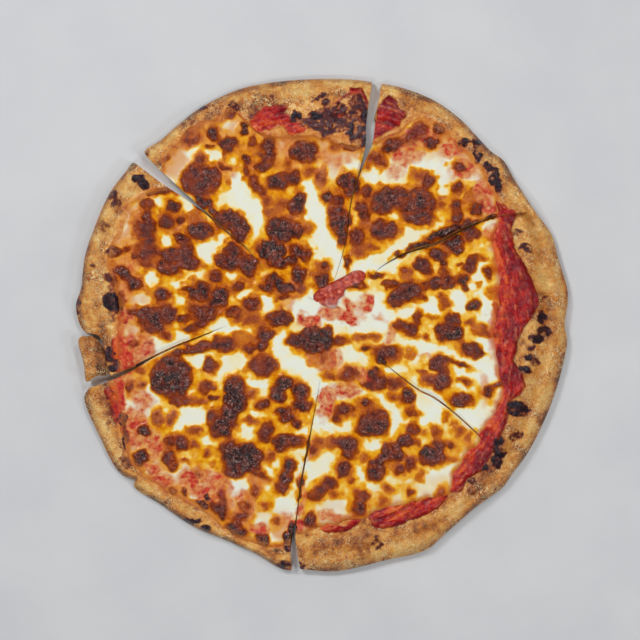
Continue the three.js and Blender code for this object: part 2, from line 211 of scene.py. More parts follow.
# The rim's width and crown height round the pizza, by angle from +X in degrees.
RIM = [
    (-178, 11, 13), (-164, 11, 11), (-150, 9, 9.5), (-122, 8, 9), (-108, 6, 9), (-97, 12, 10.5),
    (-88, 20, 12.5), (-63, 17, 13), (-51, 11, 11.5), (-24, 19, 13.5), (-11, 23, 14), (15, 20, 13.5),
    (28, 11, 12), (55, 9, 10.5), (76, 8, 10.5), (99, 12, 10.5), (123, 8, 9.5), (140, 9, 11.5),
    (162, 9, 12.5), (174, 13, 13.5),
]

# ---------------------------------------------------------------------------------------------------
# Browned spots of the cheese, as read: (x, y, half width, half height or the same, turn in degrees)

GOLDEN = [
    (-57.7, 88.8, 2.5), (-1.2, 34, 4.5, 5), (26.5, 62.2, 5, 2.5), (96.5, 26.4, 2), (58.2, -5.7, 4, 2),
    (68.5, 4.5, 3, 1.5), (97.2, -2.3, 4, 3), (54.8, -18, 4), (106.8, 19.6, 4.5, 4), (91.4, -67.9, 1.8),
    (91, -71.3, 1.8), (82.2, -60.7, 1.5), (79.4, -83.2, 3, 1.5), (61, -93.5, 3, 3.3), (-67.9, -86, 2),
    (93.8, 78.6, 6), (-80.3, 67, 6, 4), (-2.9, -20, 6, 5), (4, -22, 3, 8), (-77.5, 10, 8, 4),
    (-8.3, 60, 3.3, 4), (17, 84, 7), (-66, 12, 7, 4), (-50, -8, 8, 4),
]
ORANGE = [
    (-60.8, 106, 1.5, 3), (-22, 101, 2.2, 4), (-7, 95, 2.8), (-34.3, 77.2, 3.3), (-24.7, 75.2, 5, 4),
    (-31.6, 70.4, 4.5, 2.5), (-15.5, 74.5, 3, 4), (8, 110.7, 3), (27.9, 98.4, 2), (59.6, 93.6, 4.5, 3.5),
    (74, 74.8, 2.5), (22.4, 46.2, 4.3, 5), (32, 48.3, 4.5, 2.5), (106, 54, 3, 1.5), (85.6, 38, 2),
    (99.2, 41.5, 3.3, 2.7), (52.5, 33.3, 3.5, 4), (74, 18.2, 4, 3), (76.7, 13.4, 4, 3), (53.2, -3, 4, 3),
    (65, -6.4, 2), (91, 1.8, 2.8), (102.7, -4.3, 4.5, 3), (62.3, -28.9, 3.5, 2), (88, -34.8, 4.3, 2.3, -15),
    (46.3, -19.4, 4), (25.2, -6.4, 6, 2.8), (34, -7, 3.5, 1.8), (6, -31.7, 5, 2), (44.3, -44, 4, 3),
    (6.7, -72.3, 3.8, 4), (-2.2, -71.6, 4, 3.5), (26.5, -81.9, 3), (18.3, -96.9, 2.8, 1.5),
    (7.4, -104.4, 3, 2.5), (41.9, -100.7, 3.8, 2.2, -25), (37.8, -108.5, 2.8, 2.3), (76.7, -56.2, 2.5),
    (58.6, -71.6, 2.5), (62.3, -66.5, 2.5, 1.5), (70.9, -65.8, 4.2, 4), (84.6, -65.5, 2.3),
    (74, -103, 2.8, 3), (-44.6, -42, 3.5, 3), (-112.4, -27.6, 4.5, 3), (-75.5, -47.4, 4, 2.5),
    (-78.2, -65, 4, 3.2), (-71.7, -79.5, 2.5, 2), (-32.6, -81.9, 3.3, 3.5), (-34.7, -111.3, 3.5, 2.5),
    (-27.8, -121.5, 3), (-78.9, -73.7, 3), (-84.4, -84, 4, 2), (-76.2, -92, 3, 4), (-109, -99, 8, 2.5, 12),
    (-43.2, 3.2, 6, 3.5), (-43.9, -58.6, 5, 2.5),
]
BROWN = [
    (-98, 104, 3.8, 3.4), (-60.5, 98, 4.5, 2.5), (-55.7, 133.3, 3, 6, -25), (-43.2, 115, 3.5),
    (-47.3, 95.7, 2, 4), (-42.5, 88.8, 4.5, 4), (-38.4, 84, 3.5), (-16.9, 91.5, 4, 5), (2.6, 79.3, 4),
    (9.4, 76.5, 5, 4), (-15.2, 59.4, 5), (16.3, 110.7, 7, 2.2, -10), (-15.2, 45.6, 6, 4),
    (-9.7, 43.5, 4, 4.5), (1.9, 37.4, 2.5), (45, 112, 7.3, 4.3, 15), (27.2, 82.7, 3, 4.5),
    (24.5, 73, 5, 4.5), (25.8, 67.6, 4), (47, 80, 6, 7), (21.7, 55.3, 5.5, 5), (65.8, 88.8, 4.5, 4),
    (83.5, 85, 3.8, 3.5), (83.2, 75.2, 3.5), (82.8, 68.3, 4, 5), (15.9, 38.7, 1.8, 6), (92.4, 56.7, 7, 3.5),
    (65, 34, 4, 3), (75.3, 33.3, 3.5, 2.5), (63.7, 25, 3, 2.5), (93, 40, 4, 3.5), (91, 35.3, 3.5),
    (103.3, 32.6, 3, 3.8), (61, 18.2, 4, 3.5), (42.2, 25.7, 6, 3), (34, 31, 5, 2), (22.4, 25, 5, 3.5),
    (58.9, 3.9, 3.3, 4.5), (54.8, -2.3, 5, 3), (48.4, 0.4, 4, 3.5), (85, -23.5, 8, 1.5, -25),
    (76, -29.6, 3.5), (108, -36.5, 5, 2, 20), (40.2, -15.9, 9, 4.5), (-17.2, -9, 4.5), (11.5, -9.8, 6, 3),
    (17, -30.3, 6, 4.5), (27.2, -35.8, 5, 2.5), (14, -52, 6, 4), (27, -48, 4, 3), (37.5, -62, 3),
    (25.2, -64.8, 4.5, 3.5), (9.4, -57.9, 3, 4), (12.2, -72.3, 4), (16.3, -81.2, 4, 2.5), (4, -96.9, 5, 4),
    (-1.5, -101.7, 5, 4), (-5.6, -105.8, 5, 3.5), (47.7, -81.2, 4, 3.5), (48.4, -89.4, 4, 3.3),
    (54.5, -104, 3, 2.8), (24.5, -105.8, 5, 4.5), (22.4, -112, 4), (24.5, -116, 3.5, 3),
    (55.5, -54.5, 4, 3), (56.2, -64, 4), (71.9, -74.4, 5, 3.5), (80, -74, 2.5, 2), (54.8, -85.3, 4, 5),
    (-44.6, -14.6, 4), (-36.4, -24.2, 9, 7), (-69.3, -24.8, 4, 6), (-71.4, -38.5, 4.5, 4), (-88, -47, 7, 3),
    (-59, -77, 5, 6), (-38.4, -92.8, 6, 2.5, -25), (-33.6, -62.7, 5, 4), (-35.7, -68.2, 5),
    (-25.4, -76.4, 4, 3), (-16.5, -70.9, 6, 3.5, -20), (-93.9, -71.6, 4), (-86.4, -73, 4, 5),
    (-92.6, -87.3, 3), (-92.6, -103.7, 3, 3.5), (-85, -103.7, 2, 3.5), (-52.3, -119.5, 3),
    (-16.5, -143.4, 3.5, 5), (-98.7, 83.4, 6, 2.7), (-105.6, 81.3, 5, 1.5, 10), (-87.5, 64.9, 2, 3),
    (-121.3, 47.3, 3), (-130.9, 27, 4, 3.5), (-126.8, 34.6, 4, 3), (-108.3, 46.2, 8, 6),
    (-75.5, 18.2, 7, 3), (-75.5, 25, 6, 3), (-103.5, -1.6, 8, 4), (-77.5, 10, 4, 3), (-85, 4.5, 5, 3),
    (-80.3, -2.3, 4.5, 2.5), (-74, 1.8, 5, 3), (-55, 7.3, 5, 4.5), (-52.3, 24.4, 4.5, 3),
    (-23.4, 16.8, 5, 2), (-43.9, 12.8, 5, 4.5),
]
DARK = [
    (-105.2, 107.6, 3.8, 2.6, -20), (-75, 134.3, 3, 2), (-67.3, 119, 4, 4.5), (-58, 112.4, 6.5, 4.7),
    (-69.7, 110.4, 3, 1), (-74.8, 90.5, 12.3, 10.5), (-74, 75.2, 5, 3.5), (-57.7, 65.6, 8, 7),
    (-51, 59.5, 6, 8), (-48.7, 121.6, 2.8, 4), (-33.6, 109.3, 5.2, 8.5), (-36.7, 98.4, 6, 3, 20),
    (-46.6, 103.2, 3.8, 3.5), (-11.8, 107.6, 9, 7.3), (-26.8, 89.2, 7, 6), (-15.5, 74.5, 4.5, 8, -15),
    (14, 90, 6, 5), (18.3, 85, 5, 6), (11.5, 65, 6.5, 8), (12.2, 56, 3, 6), (-28.2, 38.7, 7, 4),
    (-14.5, 31.2, 5.8, 5.3), (-19.3, 39.4, 4, 3), (0, 27, 4, 5), (38, 77, 8, 9), (60, 74, 11, 12),
    (38.8, 58.7, 8.5, 6.5), (72.6, 122.3, 3.2, 4), (68.5, 114, 5, 3.5), (84.6, 97.7, 4, 3.5),
    (95.8, 72, 4.3, 3.3), (90, 62.5, 4, 3), (81.5, 51.9, 8, 3.5), (71.2, 44.2, 6.5, 4), (75.3, 39.4, 2.5),
    (61, 37.4, 5, 4), (69.9, 27, 4.5, 3.5), (77.4, 27, 5, 4.5), (86.3, 27.8, 3.5, 4), (88.3, 25, 3, 4),
    (83.5, 47.6, 5, 3), (56.2, 21, 5.5), (46.3, 16.2, 5, 6), (52.5, 21, 6), (93.8, 12.8, 4, 3.8),
    (80, 3.9, 4.8, 4), (74.6, -3.7, 5, 5.5), (92.4, -15.2, 8, 4.5, -25), (72.6, -23.5, 7, 5.5),
    (74.6, -34.4, 6), (86.3, -46, 7.5, 4.5), (102.7, -40.6, 4.5, 4), (27.2, -13.9, 2.5, 1.5),
    (2.6, -7, 4, 7), (32.7, -29.6, 4.5), (35.4, -35.8, 5), (53.2, -44.7, 5), (31.3, -60, 9.5, 8.5),
    (17, -75, 5.5), (13.5, -89.4, 5.5, 5), (33.4, -89.4, 5.5, 6.3), (43.6, -78.5, 7, 6.5), (38, -81.9, 4),
    (50.4, -71.6, 4), (52.8, -71.6, 3, 5), (68.5, -81.9, 9, 5.5), (64.4, -79, 5, 4), (-7, -120.8, 4, 5.5),
    (-26, 5.2, 8, 6), (-35.7, -5.7, 6, 5.5), (-37.4, -12.5, 4.5, 4), (-23.4, -35.8, 6, 4.5),
    (-26.8, -42.6, 5), (-13, -41.3, 5.5, 6), (-36.4, -48.8, 5, 2.8), (-12.4, -49.5, 6, 4),
    (-24.7, -53, 5, 3), (-22, -56, 5, 4), (-15.2, -60.7, 3.5, 3), (-62, -11.5, 8, 5),
    (-76, -13.5, 9, 3.2, 12), (-88, -16.5, 6, 2, 15), (-66.6, -44, 3, 1.5), (-55, -37.8, 7),
    (-65.9, -60.7, 5.5, 9), (-54.3, -92, 6, 3.5), (-24.7, -70.9, 5.5, 4.5), (-20, -87.3, 3.5, 4.5),
    (-22.7, -94.2, 4, 5), (-24.7, -100.3, 4.5, 4), (-49.4, -127.7, 3.5), (-37, -133.8, 4, 4.8),
    (-110, -65.5, 4, 3.5), (-111.7, -82, 4.5, 6, -15), (-94.6, -81.2, 4.8, 4.5), (-64.6, -112, 4.5, 4),
    (-62.5, -116, 4), (-55, -125.6, 6, 4.5), (-109, 74.8, 4), (-108.6, 68.3, 3), (-96.3, 64.9, 5.3, 5),
    (-107.3, 60.8, 5), (-108.3, 53.3, 5, 4), (-87, 54, 6, 3.5, -25), (-74.8, 58.7, 8, 5),
    (-129.2, 45.2, 5.5, 4), (-122.7, 31.2, 4), (-117.2, 26, 5.5, 4.5), (-94.6, 44.2, 7, 4),
    (-84.4, 44.9, 5, 6), (-84.4, 38.7, 8, 5), (-96, 35.3, 6.5, 4.5), (-98.4, 18.9, 5.3, 4.5),
    (-65.9, 30.5, 4), (-77.5, 21.6, 9, 3), (-62.5, 18.9, 6, 5), (-65.2, 14, 6, 3), (-104.9, 5.2, 11, 6),
    (-95.3, 7.3, 5.5), (-71.4, 7.3, 7, 4.5), (-58.4, 40, 9, 6), (-55, 46.2, 6, 5), (-45.2, 36.7, 6, 7),
    (-34.3, 23.7, 5, 3),
]
# The first eight, thin along the cuts, are partly burnt cut edges, partly painted shadow of the gaps beside
# them.
DARKEST = [
    (50, 45.2, 6, 1.4, 28), (62, 49.2, 8, 1.6, 18), (90, 61.6, 8, 1.8, 28), (104, 67, 6, 1.3, 20),
    (-66, 69.8, 7, 1.6, -42), (-75.5, 77.2, 5, 1.3, -42), (-13.8, -101, 1.2, 8, -12),
    (-9.6, -76, 1.0, 9, -10), (-25.4, 59.4, 9, 8), (-31.6, 46.2, 9, 7), (76, 58, 12, 3, 22),
    (81.5, -4.3, 6.5, 5.5), (37.5, -20.7, 3, 2.5), (-5.6, -9.1, 10.5, 8.5), (-93.3, -31.7, 13.5, 13),
    (-53.6, -46.7, 8, 7), (-58.4, -58.6, 6, 10), (-54.3, -81.9, 8, 10), (-45.2, -81.9, 9, 9),
    (-91.6, 74, 5, 3.5), (-28.8, 27.8, 5, 4), (-22.7, 23, 6, 4), (39.5, 109.5, 3, 2.5),
]
# Cheese baked thin over the sauce: red-brown and mottled.
RUSTY = [
    (-82, 116, 9, 4.5), (-88.8, 119.2, 3.5), (-76.5, 123.7, 3), (-75.5, 104, 3.8), (0, 92.2, 3.5, 6),
    (6.7, 71, 4, 2.5), (-13.8, 23, 4), (31.3, 104.5, 5.5, 4.5), (36.8, 101, 3), (58.9, 119.6, 6),
    (63.7, 123.7, 3.5), (54.8, 115.5, 4), (82.2, 118.2, 3, 2), (110.9, 58, 4, 3), (107, 11.4, 2, 3),
    (110.9, 5.9, 2, 2.5), (66.4, -33.7, 4, 3), (45, -35.8, 7, 4), (-5.6, -77.8, 3), (-111.4, -36.5, 2.5),
    (-119.2, -37.8, 3.3, 4.5), (-41.5, -103, 3.5, 5), (-48, -112, 4), (-48, -118.8, 4, 3),
    (-93.9, -58, 6, 3, 55), (-101.5, -57.3, 3, 5), (-61.8, -105, 3, 6), (-114, 62.2, 3.5, 5),
    (-115.8, 42, 2.5), (-123.3, 16.8, 3, 5), (-108.3, 37.4, 6, 3), (-117.2, 8, 5, 4), (-95.3, -6.4, 4, 3),
    (-115.8, -11.2, 3.5, 3),
]
# Open, unbrowned cheese.
CREAM = [
    (-49, 82, 5, 10, 20), (-42, 66, 5, 12), (-5.6, 78, 6, 10), (0, 61, 6, 12), (7.4, 96, 3, 4),
    (19, 95.7, 4), (29.9, 95, 5, 6), (76.7, 92.6, 6, 4.5), (26.5, 36.7, 7, 4), (95, 32, 8, 9),
    (101, 12, 7, 9), (102, -14, 6, 10), (100, -30, 6, 6), (65, 12, 8, 6), (60, -14, 9, 4), (84, 14, 5, 6),
    (9.4, 44, 7, 10), (-8, 11.4, 8, 5), (6, 3.2, 12, 4), (36.8, 8, 8, 10), (-24.7, -13.9, 3, 8),
    (-13.8, -24.8, 12, 6), (-35, -35.8, 8, 2.5), (-76, -22.8, 4, 3), (-105, -40.6, 6, 5), (-81, -56, 8, 5),
    (-53.6, -101.7, 5, 4), (-22, -113, 6, 6), (-115, 78, 7, 3, 30), (-122, 72, 3, 6), (-123.3, 65.6, 3, 7),
    (-107, -14.6, 8, 3), (-87.8, -7.8, 5, 3), (-66, 1.8, 6, 3.5), (-80, 107, 8, 5), (-88, 98, 4, 8),
    (-110, -50, 8, 5), (20, 3, 12, 5), (70, -56, 6, 4), (88, -55, 5, 4), (50, -56, 6, 3),
]
# Sauce that shows through or over the cheese: (x, y, half width, half height, turn), then how red.
RED_PATCHES = [
    ((43, 136.5, 5, 7), 1.0), ((43.6, 126, 4, 7), 0.9), ((38, 119.6, 3, 3), 0.9),
    ((28, 148.8, 4.3, 2.3, -35), 1.0), ((75.7, 111, 3.5, 2.5), 1.0), ((83, 110, 9, 6), 0.8),
    ((52, 106, 9, 7), 0.6), ((46, 96, 6, 4), 0.38), ((104, 73, 6, 4), 0.85), ((62, 118, 10, 6), 0.7),
    ((100, 80, 6, 8), 0.75), ((88, 96, 8, 6), 0.6), ((28.5, 13, 3.5, 6), 1.0), ((16, 5, 4.5, 5), 0.95),
    ((15.5, 13.5, 3), 0.9), ((18, 10.7, 3), 0.85), ((22.5, 10, 9, 6), 0.34), ((36.7, 4.2, 3, 2), 0.45),
    ((4.6, 8, 8, 4), 0.75), ((-8.3, 3.3, 5.5, 4), 1.0), ((-20, 15, 6, 3), 0.35), ((42, -6, 3, 7), 0.45),
    ((5, -22, 8, 7), 0.55), ((-6, -20, 3, 4), 0.42), ((8.7, -41.3, 9, 2.5), 0.85), ((3.3, -50, 6, 9), 0.75),
    ((14, -40, 8, 6), 0.6), ((-13.8, -124, 4, 4), 1.0), ((27, -32, 10, 3, -35), 0.6),
    ((-13.8, -113, 2, 4), 0.9), ((-6, -77, 2, 6), 0.6), ((8, -118, 12, 4), 0.5), ((-12, -104, 2, 10), 0.45),
    ((-127, -54, 5, 22), 1.0), ((-117, -64, 8, 13), 0.72), ((-112, -46, 7, 6), 0.5),
    ((-105.6, -68.9, 4, 4), 0.8), ((-102.2, -76.4, 6, 5), 0.7), ((-105.5, -89.4, 5, 4.5), 0.95),
    ((-99, -96, 6, 4), 0.85), ((-81.7, -94.9, 5, 5), 0.9), ((-74, -97, 16, 9, -10), 0.55),
    ((-65.6, -95, 5, 4), 0.8), ((-72.8, -103, 7, 3), 0.8), ((-127.4, -34.4, 6, 4), 1.0),
    ((-61, -107, 6, 8), 0.6), ((-88, -112, 9, 5), 0.6), ((-40, -126.5, 5, 4), 0.9),
    ((-48, -113, 6, 9), 0.5), ((-22, -121, 5, 6), 0.4), ((-123, -18, 7, 12), 1.0),
    ((-114, -14, 8, 10), 0.68), ((-126.5, -6, 5, 9), 0.95), ((-124.7, 4, 5, 6), 0.9),
    ((-123, 22, 4, 9), 0.5), ((-119, 38, 4, 8), 0.4), ((2, 104, 7, 4), 0.4), ((13, 102, 6, 4), 0.38),
    ((-86, 116, 9, 5), 0.42), ((100, -40, 3, 8), 0.4), ((64, -18, 4, 1.5), 0.5), ((106, 4, 3, 10), 0.5),
    ((104, 58, 5, 3), 0.5), ((-40, -96, 5, 8), 0.35), ((-16, 24, 4, 3), 0.5), ((-60, 96, 6, 5), 0.35),
    ((-20, 112, 10, 6), 0.4),
]
# Where bare sauce really shows beside the cheese; elsewhere it is baked dry and looks like crust.
WET_SAUCE = [
    [(-37, 136), (-21, 137.5), (-23, 132), (-9.7, 122), (-10, 119), (-19, 118), (-28, 125.7), (-31.5, 121.4),
     (-36, 120.5), (-39.6, 117), (-43, 119), (-45.3, 127.6), (-38.6, 132.8)],
    [(17, 149.5), (20.5, 150), (25.5, 146), (28.7, 140), (29, 136), (26.6, 132.8), (25.5, 134), (26.6, 138.5),
     (23.7, 142.4), (18.4, 143), (13.4, 140.6), (9, 137), (6.3, 136.3), (12, 142), (17, 145)],
    [(4.2, 131.4), (9.1, 133.5), (13.4, 135.6), (15.9, 136.3), (14.8, 131.4), (11.3, 127.8), (6.3, 128.9)],
    [(34.5, 135), (37, 139), (40, 143), (42, 144), (44.3, 141.4), (47.6, 136.5), (53, 129.7), (50, 128),
     (47.6, 124), (43, 121), (38, 118), (32, 115), (33, 126)],
    [(101, 89), (104, 80.4), (108, 77.4), (114, 75.2), (117, 71), (118, 66), (110, 66), (108, 75), (102, 79),
     (100, 85)],
    [(110, 72), (122, 72), (120, 55), (122, 46), (127, 38), (133, 27), (137, 15), (134, 3), (126, -5),
     (122, -14), (121, -22), (127, -30), (129, -40), (124, -45), (119, -50), (117, -61), (112, -68),
     (109, -75), (105, -83), (99, -91), (91, -96), (88, -103), (80, -104), (78, -94), (85, -84), (96, -62),
     (100, -50), (95, 0), (98, 50)],
    [(80, -104), (64, -106), (48, -109), (33, -112), (28, -119), (31, -124), (36, -127.5), (44, -126),
     (55, -122.8), (66, -118.5), (75, -111)],
    [(0, -120), (6, -123), (14, -124), (19, -120), (23, -117), (24, -121.5), (18, -127), (12, -130.5),
     (4, -129.5), (-1, -126)],
    [(-133, -8), (-124, -8), (-120, -22), (-126, -30), (-132, -26)],
    [(-136, -40), (-126, -36), (-122, -50), (-124, -62), (-129, -60), (-132, -48)],
]

NEAR_SPOTS = 8  # how far a spot may act
RING_TONE = 0.38  # how browned the golden ring round a spot is
TONES = [  # spots, how browned, how wide the golden ring is, how red
    (GOLDEN, 0.34, 2.0, 0.0),
    (ORANGE, 0.5, 2.4, 0.0),
    (BROWN, 0.68, 2.8, 0.04),
    (DARK, 0.8, 3.2, 0.06),
    (DARKEST, 0.95, 3.6, 0.0),
    (RUSTY, 0.58, 2.6, 0.3),
]

# Burnt and browned places on the crust and on the bare sauce, and how dark they are.
CHARRED = [
    ((-56, 133, 3, 6, -25), 0.66), ((-42.5, 132, 2.5, 4, -15), 0.45), ((-110, 104, 5, 3, 45), 0.5),
    ((6, 128, 17, 8, 5), 0.7), ((23, 126, 6, 17), 0.75), ((-5, 126, 9, 5), 0.55),
    ((99, 103, 6, 15, 40), 0.3), ((-130, 22, 4, 20), 0.42), ((-132, -50, 3, 14), 0.4),
    ((-76, -112, 12, 3, -30), 0.35), ((-16.4, 129.5, 3.3, 3.3), 1.0), ((-3.2, 129.5, 3.8, 3.2), 1.0),
    ((1.9, 137.4, 2.5, 2.5), 0.8), ((-1.2, 141.8, 6, 1.5, 15), 0.7), ((4, 121, 5.5, 3, 20), 0.8),
    ((8, 125.7, 3, 3), 0.8), ((11, 136, 2.2, 2.2), 0.8), ((19.3, 138, 2.5, 4), 0.8),
    ((18.3, 122.3, 2.8, 9), 0.9), ((26.5, 127.8, 2, 7), 0.9), ((26.5, 115.5, 1.5, 4), 0.9),
    ((13, 130, 3, 3), 0.6), ((-30, 141, 6, 1, -15), 0.5), ((88.3, 113.4, 4.3, 2.3), 0.9),
    ((95.8, 112.4, 2.5, 2.5), 0.9), ((95.8, 106, 2.5, 6), 0.9), ((104.7, 97.4, 5, 2.3, -35), 0.9),
    ((107, 90.5, 3.7, 4), 0.95), ((109.5, 85.4, 2.5, 3.5), 0.9), ((127.3, 48.3, 4.5, 2.5), 0.7),
    ((121.8, 58, 2.5, 2.5), 0.6), ((136.5, 5.2, 2.8, 4.3), 1.0), ((136.8, -3.7, 4, 3), 0.85),
    ((133.4, -7.8, 4.5, 3), 1.0), ((130, -13.9, 3, 2), 0.7), ((128, -19.4, 2.5, 1.5), 1.0),
    ((132, -22, 3, 3), 0.6), ((126.6, -27.6, 3, 2.5), 1.0), ((121, -51.5, 6.5, 4.5), 1.0),
    ((109.5, -73, 3.5, 4), 1.0), ((110.9, -79, 4, 4), 0.95), ((108.8, -84.6, 4, 3), 0.9),
    ((102.7, -88, 4.5, 2.5), 0.9), ((119.8, -67.9, 4.5, 2.3, 25), 0.7), ((93, -96.2, 3.3, 2.5), 0.6),
    ((93.8, -103, 3.5, 3.5), 0.5), ((34, -133.8, 3.5, 4.5), 0.55), ((23.8, -133.8, 7, 8), 0.35),
    ((24.5, -140.7, 5, 4), 0.35), ((2.6, -136, 3, 2.5), 0.4), ((10.8, -133.8, 3, 3), 0.35),
    ((-123.3, -57.3, 3.5, 4.5), 0.9), ((-122, -68, 2, 9), 0.8), ((-130.9, -56.6, 3, 4.5), 0.5),
    ((-121.3, -83.6, 4, 5), 0.5), ((-70.7, -106.5, 3.3, 1.8, -30), 1.0), ((-74, -110, 4.5, 2.5, -25), 0.9),
    ((-82.3, -122.2, 7, 2, 15), 0.9), ((-72, -125.6, 4, 2, 10), 0.9), ((-20.6, -133.8, 3.5, 6), 1.0),
    ((-18.6, -126.3, 2, 4), 1.0), ((-18.6, -149.5, 8, 4.5), 0.7), ((-25.4, -148.2, 3, 2.5), 0.9),
    ((-112.7, 89.2, 5.5, 3.5, -40), 0.95), ((-129.2, 80.3, 3, 3), 0.7), ((-126.8, 74.5, 3, 5), 0.6),
    ((-135, 61.8, 4.5, 4.5), 0.45), ((-131.5, 15.5, 4.5, 5), 1.0), ((-127.4, 11.4, 3.5, 4), 1.0),
    ((-132, -18, 3, 5), 0.9), ((-128.8, -24, 4, 4), 0.9), ((-131.5, 30, 3.5, 3), 0.6),
    ((-129, 45, 5, 4), 0.7), ((-43, 133, 3.5, 4), 0.4), ((-75.5, 134.5, 3, 2), 0.8),
    ((-83, 126, 7, 4, 40), 0.35), ((-152, 13, 3, 6), 0.7), ((-142, 37, 1.2, 1), 0.6),
    ((138.5, 18, 1.5, 1), 0.6),
]

# ---------------------------------------------------------------------------------------------------
# Smooth random fields

WHOLE = 0xFFFFFFFF
LAYER_TURN = 0.6  # radians from one layer of noise to the next
LAYER_FADE = 0.55
LAYER_GAIN = 1.4
PIZZA_REACH = 165
KNOB_JITTER = 0.72
KNOB_SHARPNESS = 5.0


def smoothstep(low, high, value):
    share = np.clip((value - low) / (high - low), 0.0, 1.0)
    return share * share * (3 - 2 * share)


def lattice(ix, iy, seed):
    """A repeatable random value from 0 to 1 at whole-number places, by mixing large odd numbers in."""
    mixed = ix.astype(np.int64) * 374761393 + iy.astype(np.int64) * 668265263 + seed * 974634777
    mixed &= WHOLE
    mixed = ((mixed ^ (mixed >> 13)) * 1274126177) & WHOLE
    mixed = ((mixed ^ (mixed >> 16)) * 2246822519) & WHOLE
    return ((mixed ^ (mixed >> 15)) & 0xFFFFFF) / float(0xFFFFFF)


def noise(x, y, size, seed=0):
    """Smooth noise from -1 to 1, with lumps about `size` across."""
    gx, gy = x / size, y / size
    ix, iy = np.floor(gx), np.floor(gy)
    fx, fy = gx - ix, gy - iy
    fx, fy = fx * fx * (3 - 2 * fx), fy * fy * (3 - 2 * fy)
    corners = [lattice(ix + dx, iy + dy, seed + SEED) for dy in (0, 1) for dx in (0, 1)]
    low = corners[0] + (corners[1] - corners[0]) * fx
    high = corners[2] + (corners[3] - corners[2]) * fx
    return (low + (high - low) * fy) * 2 - 1


def layered(x, y, size, seed=0, layers=3):
    """Noise with finer noise on top, from about -1 to 1."""
    total = np.zeros(x.shape)
    weight, whole = 1.0, 0.0
    for layer in range(layers):
        turn = LAYER_TURN * layer
        rx = x * math.cos(turn) - y * math.sin(turn)
        ry = x * math.sin(turn) + y * math.cos(turn)
        total += weight * noise(rx, ry, size / 2**layer, seed + 17 * layer)
        whole += weight
        weight *= LAYER_FADE
    return total / whole * LAYER_GAIN


def shaken(x, y, reach, size, seed):
    """Points moved about by up to some `reach`, so that what is read there gets uneven edges."""
    return x + reach * layered(x, y, size, seed), y + reach * layered(x, y, size, seed + 1)


class Knobs:
    """Scattered round knobs over the pizza, `size` apart, each with a value of its own."""

    def __init__(self, size, seed, value_at, spread):
        self.size = size
        self.count = int(PIZZA_REACH / size) + 3
        line = np.arange(-self.count, self.count + 1).astype(float)
        gx, gy = np.meshgrid(line, line)
        self.x = gx + 0.5 + KNOB_JITTER * (lattice(gx, gy, seed) - 0.5)
        self.y = gy + 0.5 + KNOB_JITTER * (lattice(gx, gy, seed + 1) - 0.5)
        self.own = lattice(gx, gy, seed + 2)
        self.value = value_at(self.x * size, self.y * size) + spread * (self.own - 0.5)

    def read(self, x, y):
        """The knobs' values at points, each knob holding its own round place, and the knobs' height."""
        gx, gy = x / self.size, y / self.size
        ix, iy = np.floor(gx).astype(int), np.floor(gy).astype(int)
        total, weights, cap = np.zeros_like(x), np.full_like(x, 1e-9), np.zeros_like(x)
        for step_y in (-1, 0, 1):
            for step_x in (-1, 0, 1):
                at = (iy + step_y + self.count, ix + step_x + self.count)
                away = (gx - self.x[at]) ** 2 + (gy - self.y[at]) ** 2
                weight = np.exp(-KNOB_SHARPNESS * away)
                total += weight * self.value[at]
                weights += weight
                cap = np.maximum(cap, np.sqrt(np.clip(1 - away / (0.45 + 0.3 * self.own[at]), 0, 1)))
        return total / weights, cap


def edge_distance(x, y, spot):
    """How far outside (or, below 0, inside) a spot a point is, and its share of the spot's radius."""
    sx, sy, rx = spot[:3]
    ry = spot[3] if len(spot) > 3 else rx
    turn = math.radians(spot[4]) if len(spot) > 4 else 0.0
    dx, dy = x - sx, y - sy
    a = (dx * math.cos(turn) + dy * math.sin(turn)) / rx
    b = (-dx * math.sin(turn) + dy * math.cos(turn)) / ry
    share = np.hypot(a, b)
    return (share - 1) * math.sqrt(rx * ry), share


def near(x, y, spot, margin):
    """Whether a spot comes close enough to the box round the points to matter to them."""
    reach = max(spot[2:4]) + margin
    return (x.min() - reach < spot[0] < x.max() + reach) and (y.min() - reach < spot[1] < y.max() + reach)


def strongest(x, y, patches, none_at, full_at):
    """The strongest of soft-edged patches, each a spot and its strength.

    A patch starts `none_at` outside its edge and is full `full_at` from it, below 0 for inside."""
    most = np.zeros_like(x)
    for spot, strength in patches:
        if near(x, y, spot, none_at + 1):
            distance, _ = edge_distance(x, y, spot)
            most = np.maximum(most, strength * smoothstep(none_at, full_at, distance))
    return most


def inside(x, y, outline):
    """How far inside an outline a point is; below 0, how far outside."""
    nearest = np.full_like(x, 1e9)
    crossings = np.zeros(x.shape, bool)
    for (ax, ay), (bx, by) in zip(outline, outline[1:] + outline[:1]):
        share = ((x - ax) * (bx - ax) + (y - ay) * (by - ay)) / ((bx - ax) ** 2 + (by - ay) ** 2)
        share = np.clip(share, 0, 1)
        nearest = np.minimum(nearest, np.hypot(x - ax - share * (bx - ax), y - ay - share * (by - ay)))
        if ay != by:
            crossings ^= ((ay > y) != (by > y)) & (x < ax + (bx - ax) * (y - ay) / (by - ay))
    return np.where(crossings, nearest, -nearest)


# ---------------------------------------------------------------------------------------------------
# Curves and the plan of a slice

CURVE_STEPS = 20  # between one given point and the next
WIDE_OPEN = 2.0  # what counts as the opening where the slices part


def from_meeting_point(x, y):
    """How far points are from the meeting point of the cuts."""
    return np.hypot(x - MEETING_POINT[0], y - MEETING_POINT[1])


def drawn_in(x, y, distance):
    """Points moved a distance towards the meeting point."""
    share = distance / np.maximum(from_meeting_point(x, y), 1)
    return x + (MEETING_POINT[0] - x) * share, y + (MEETING_POINT[1] - y) * share


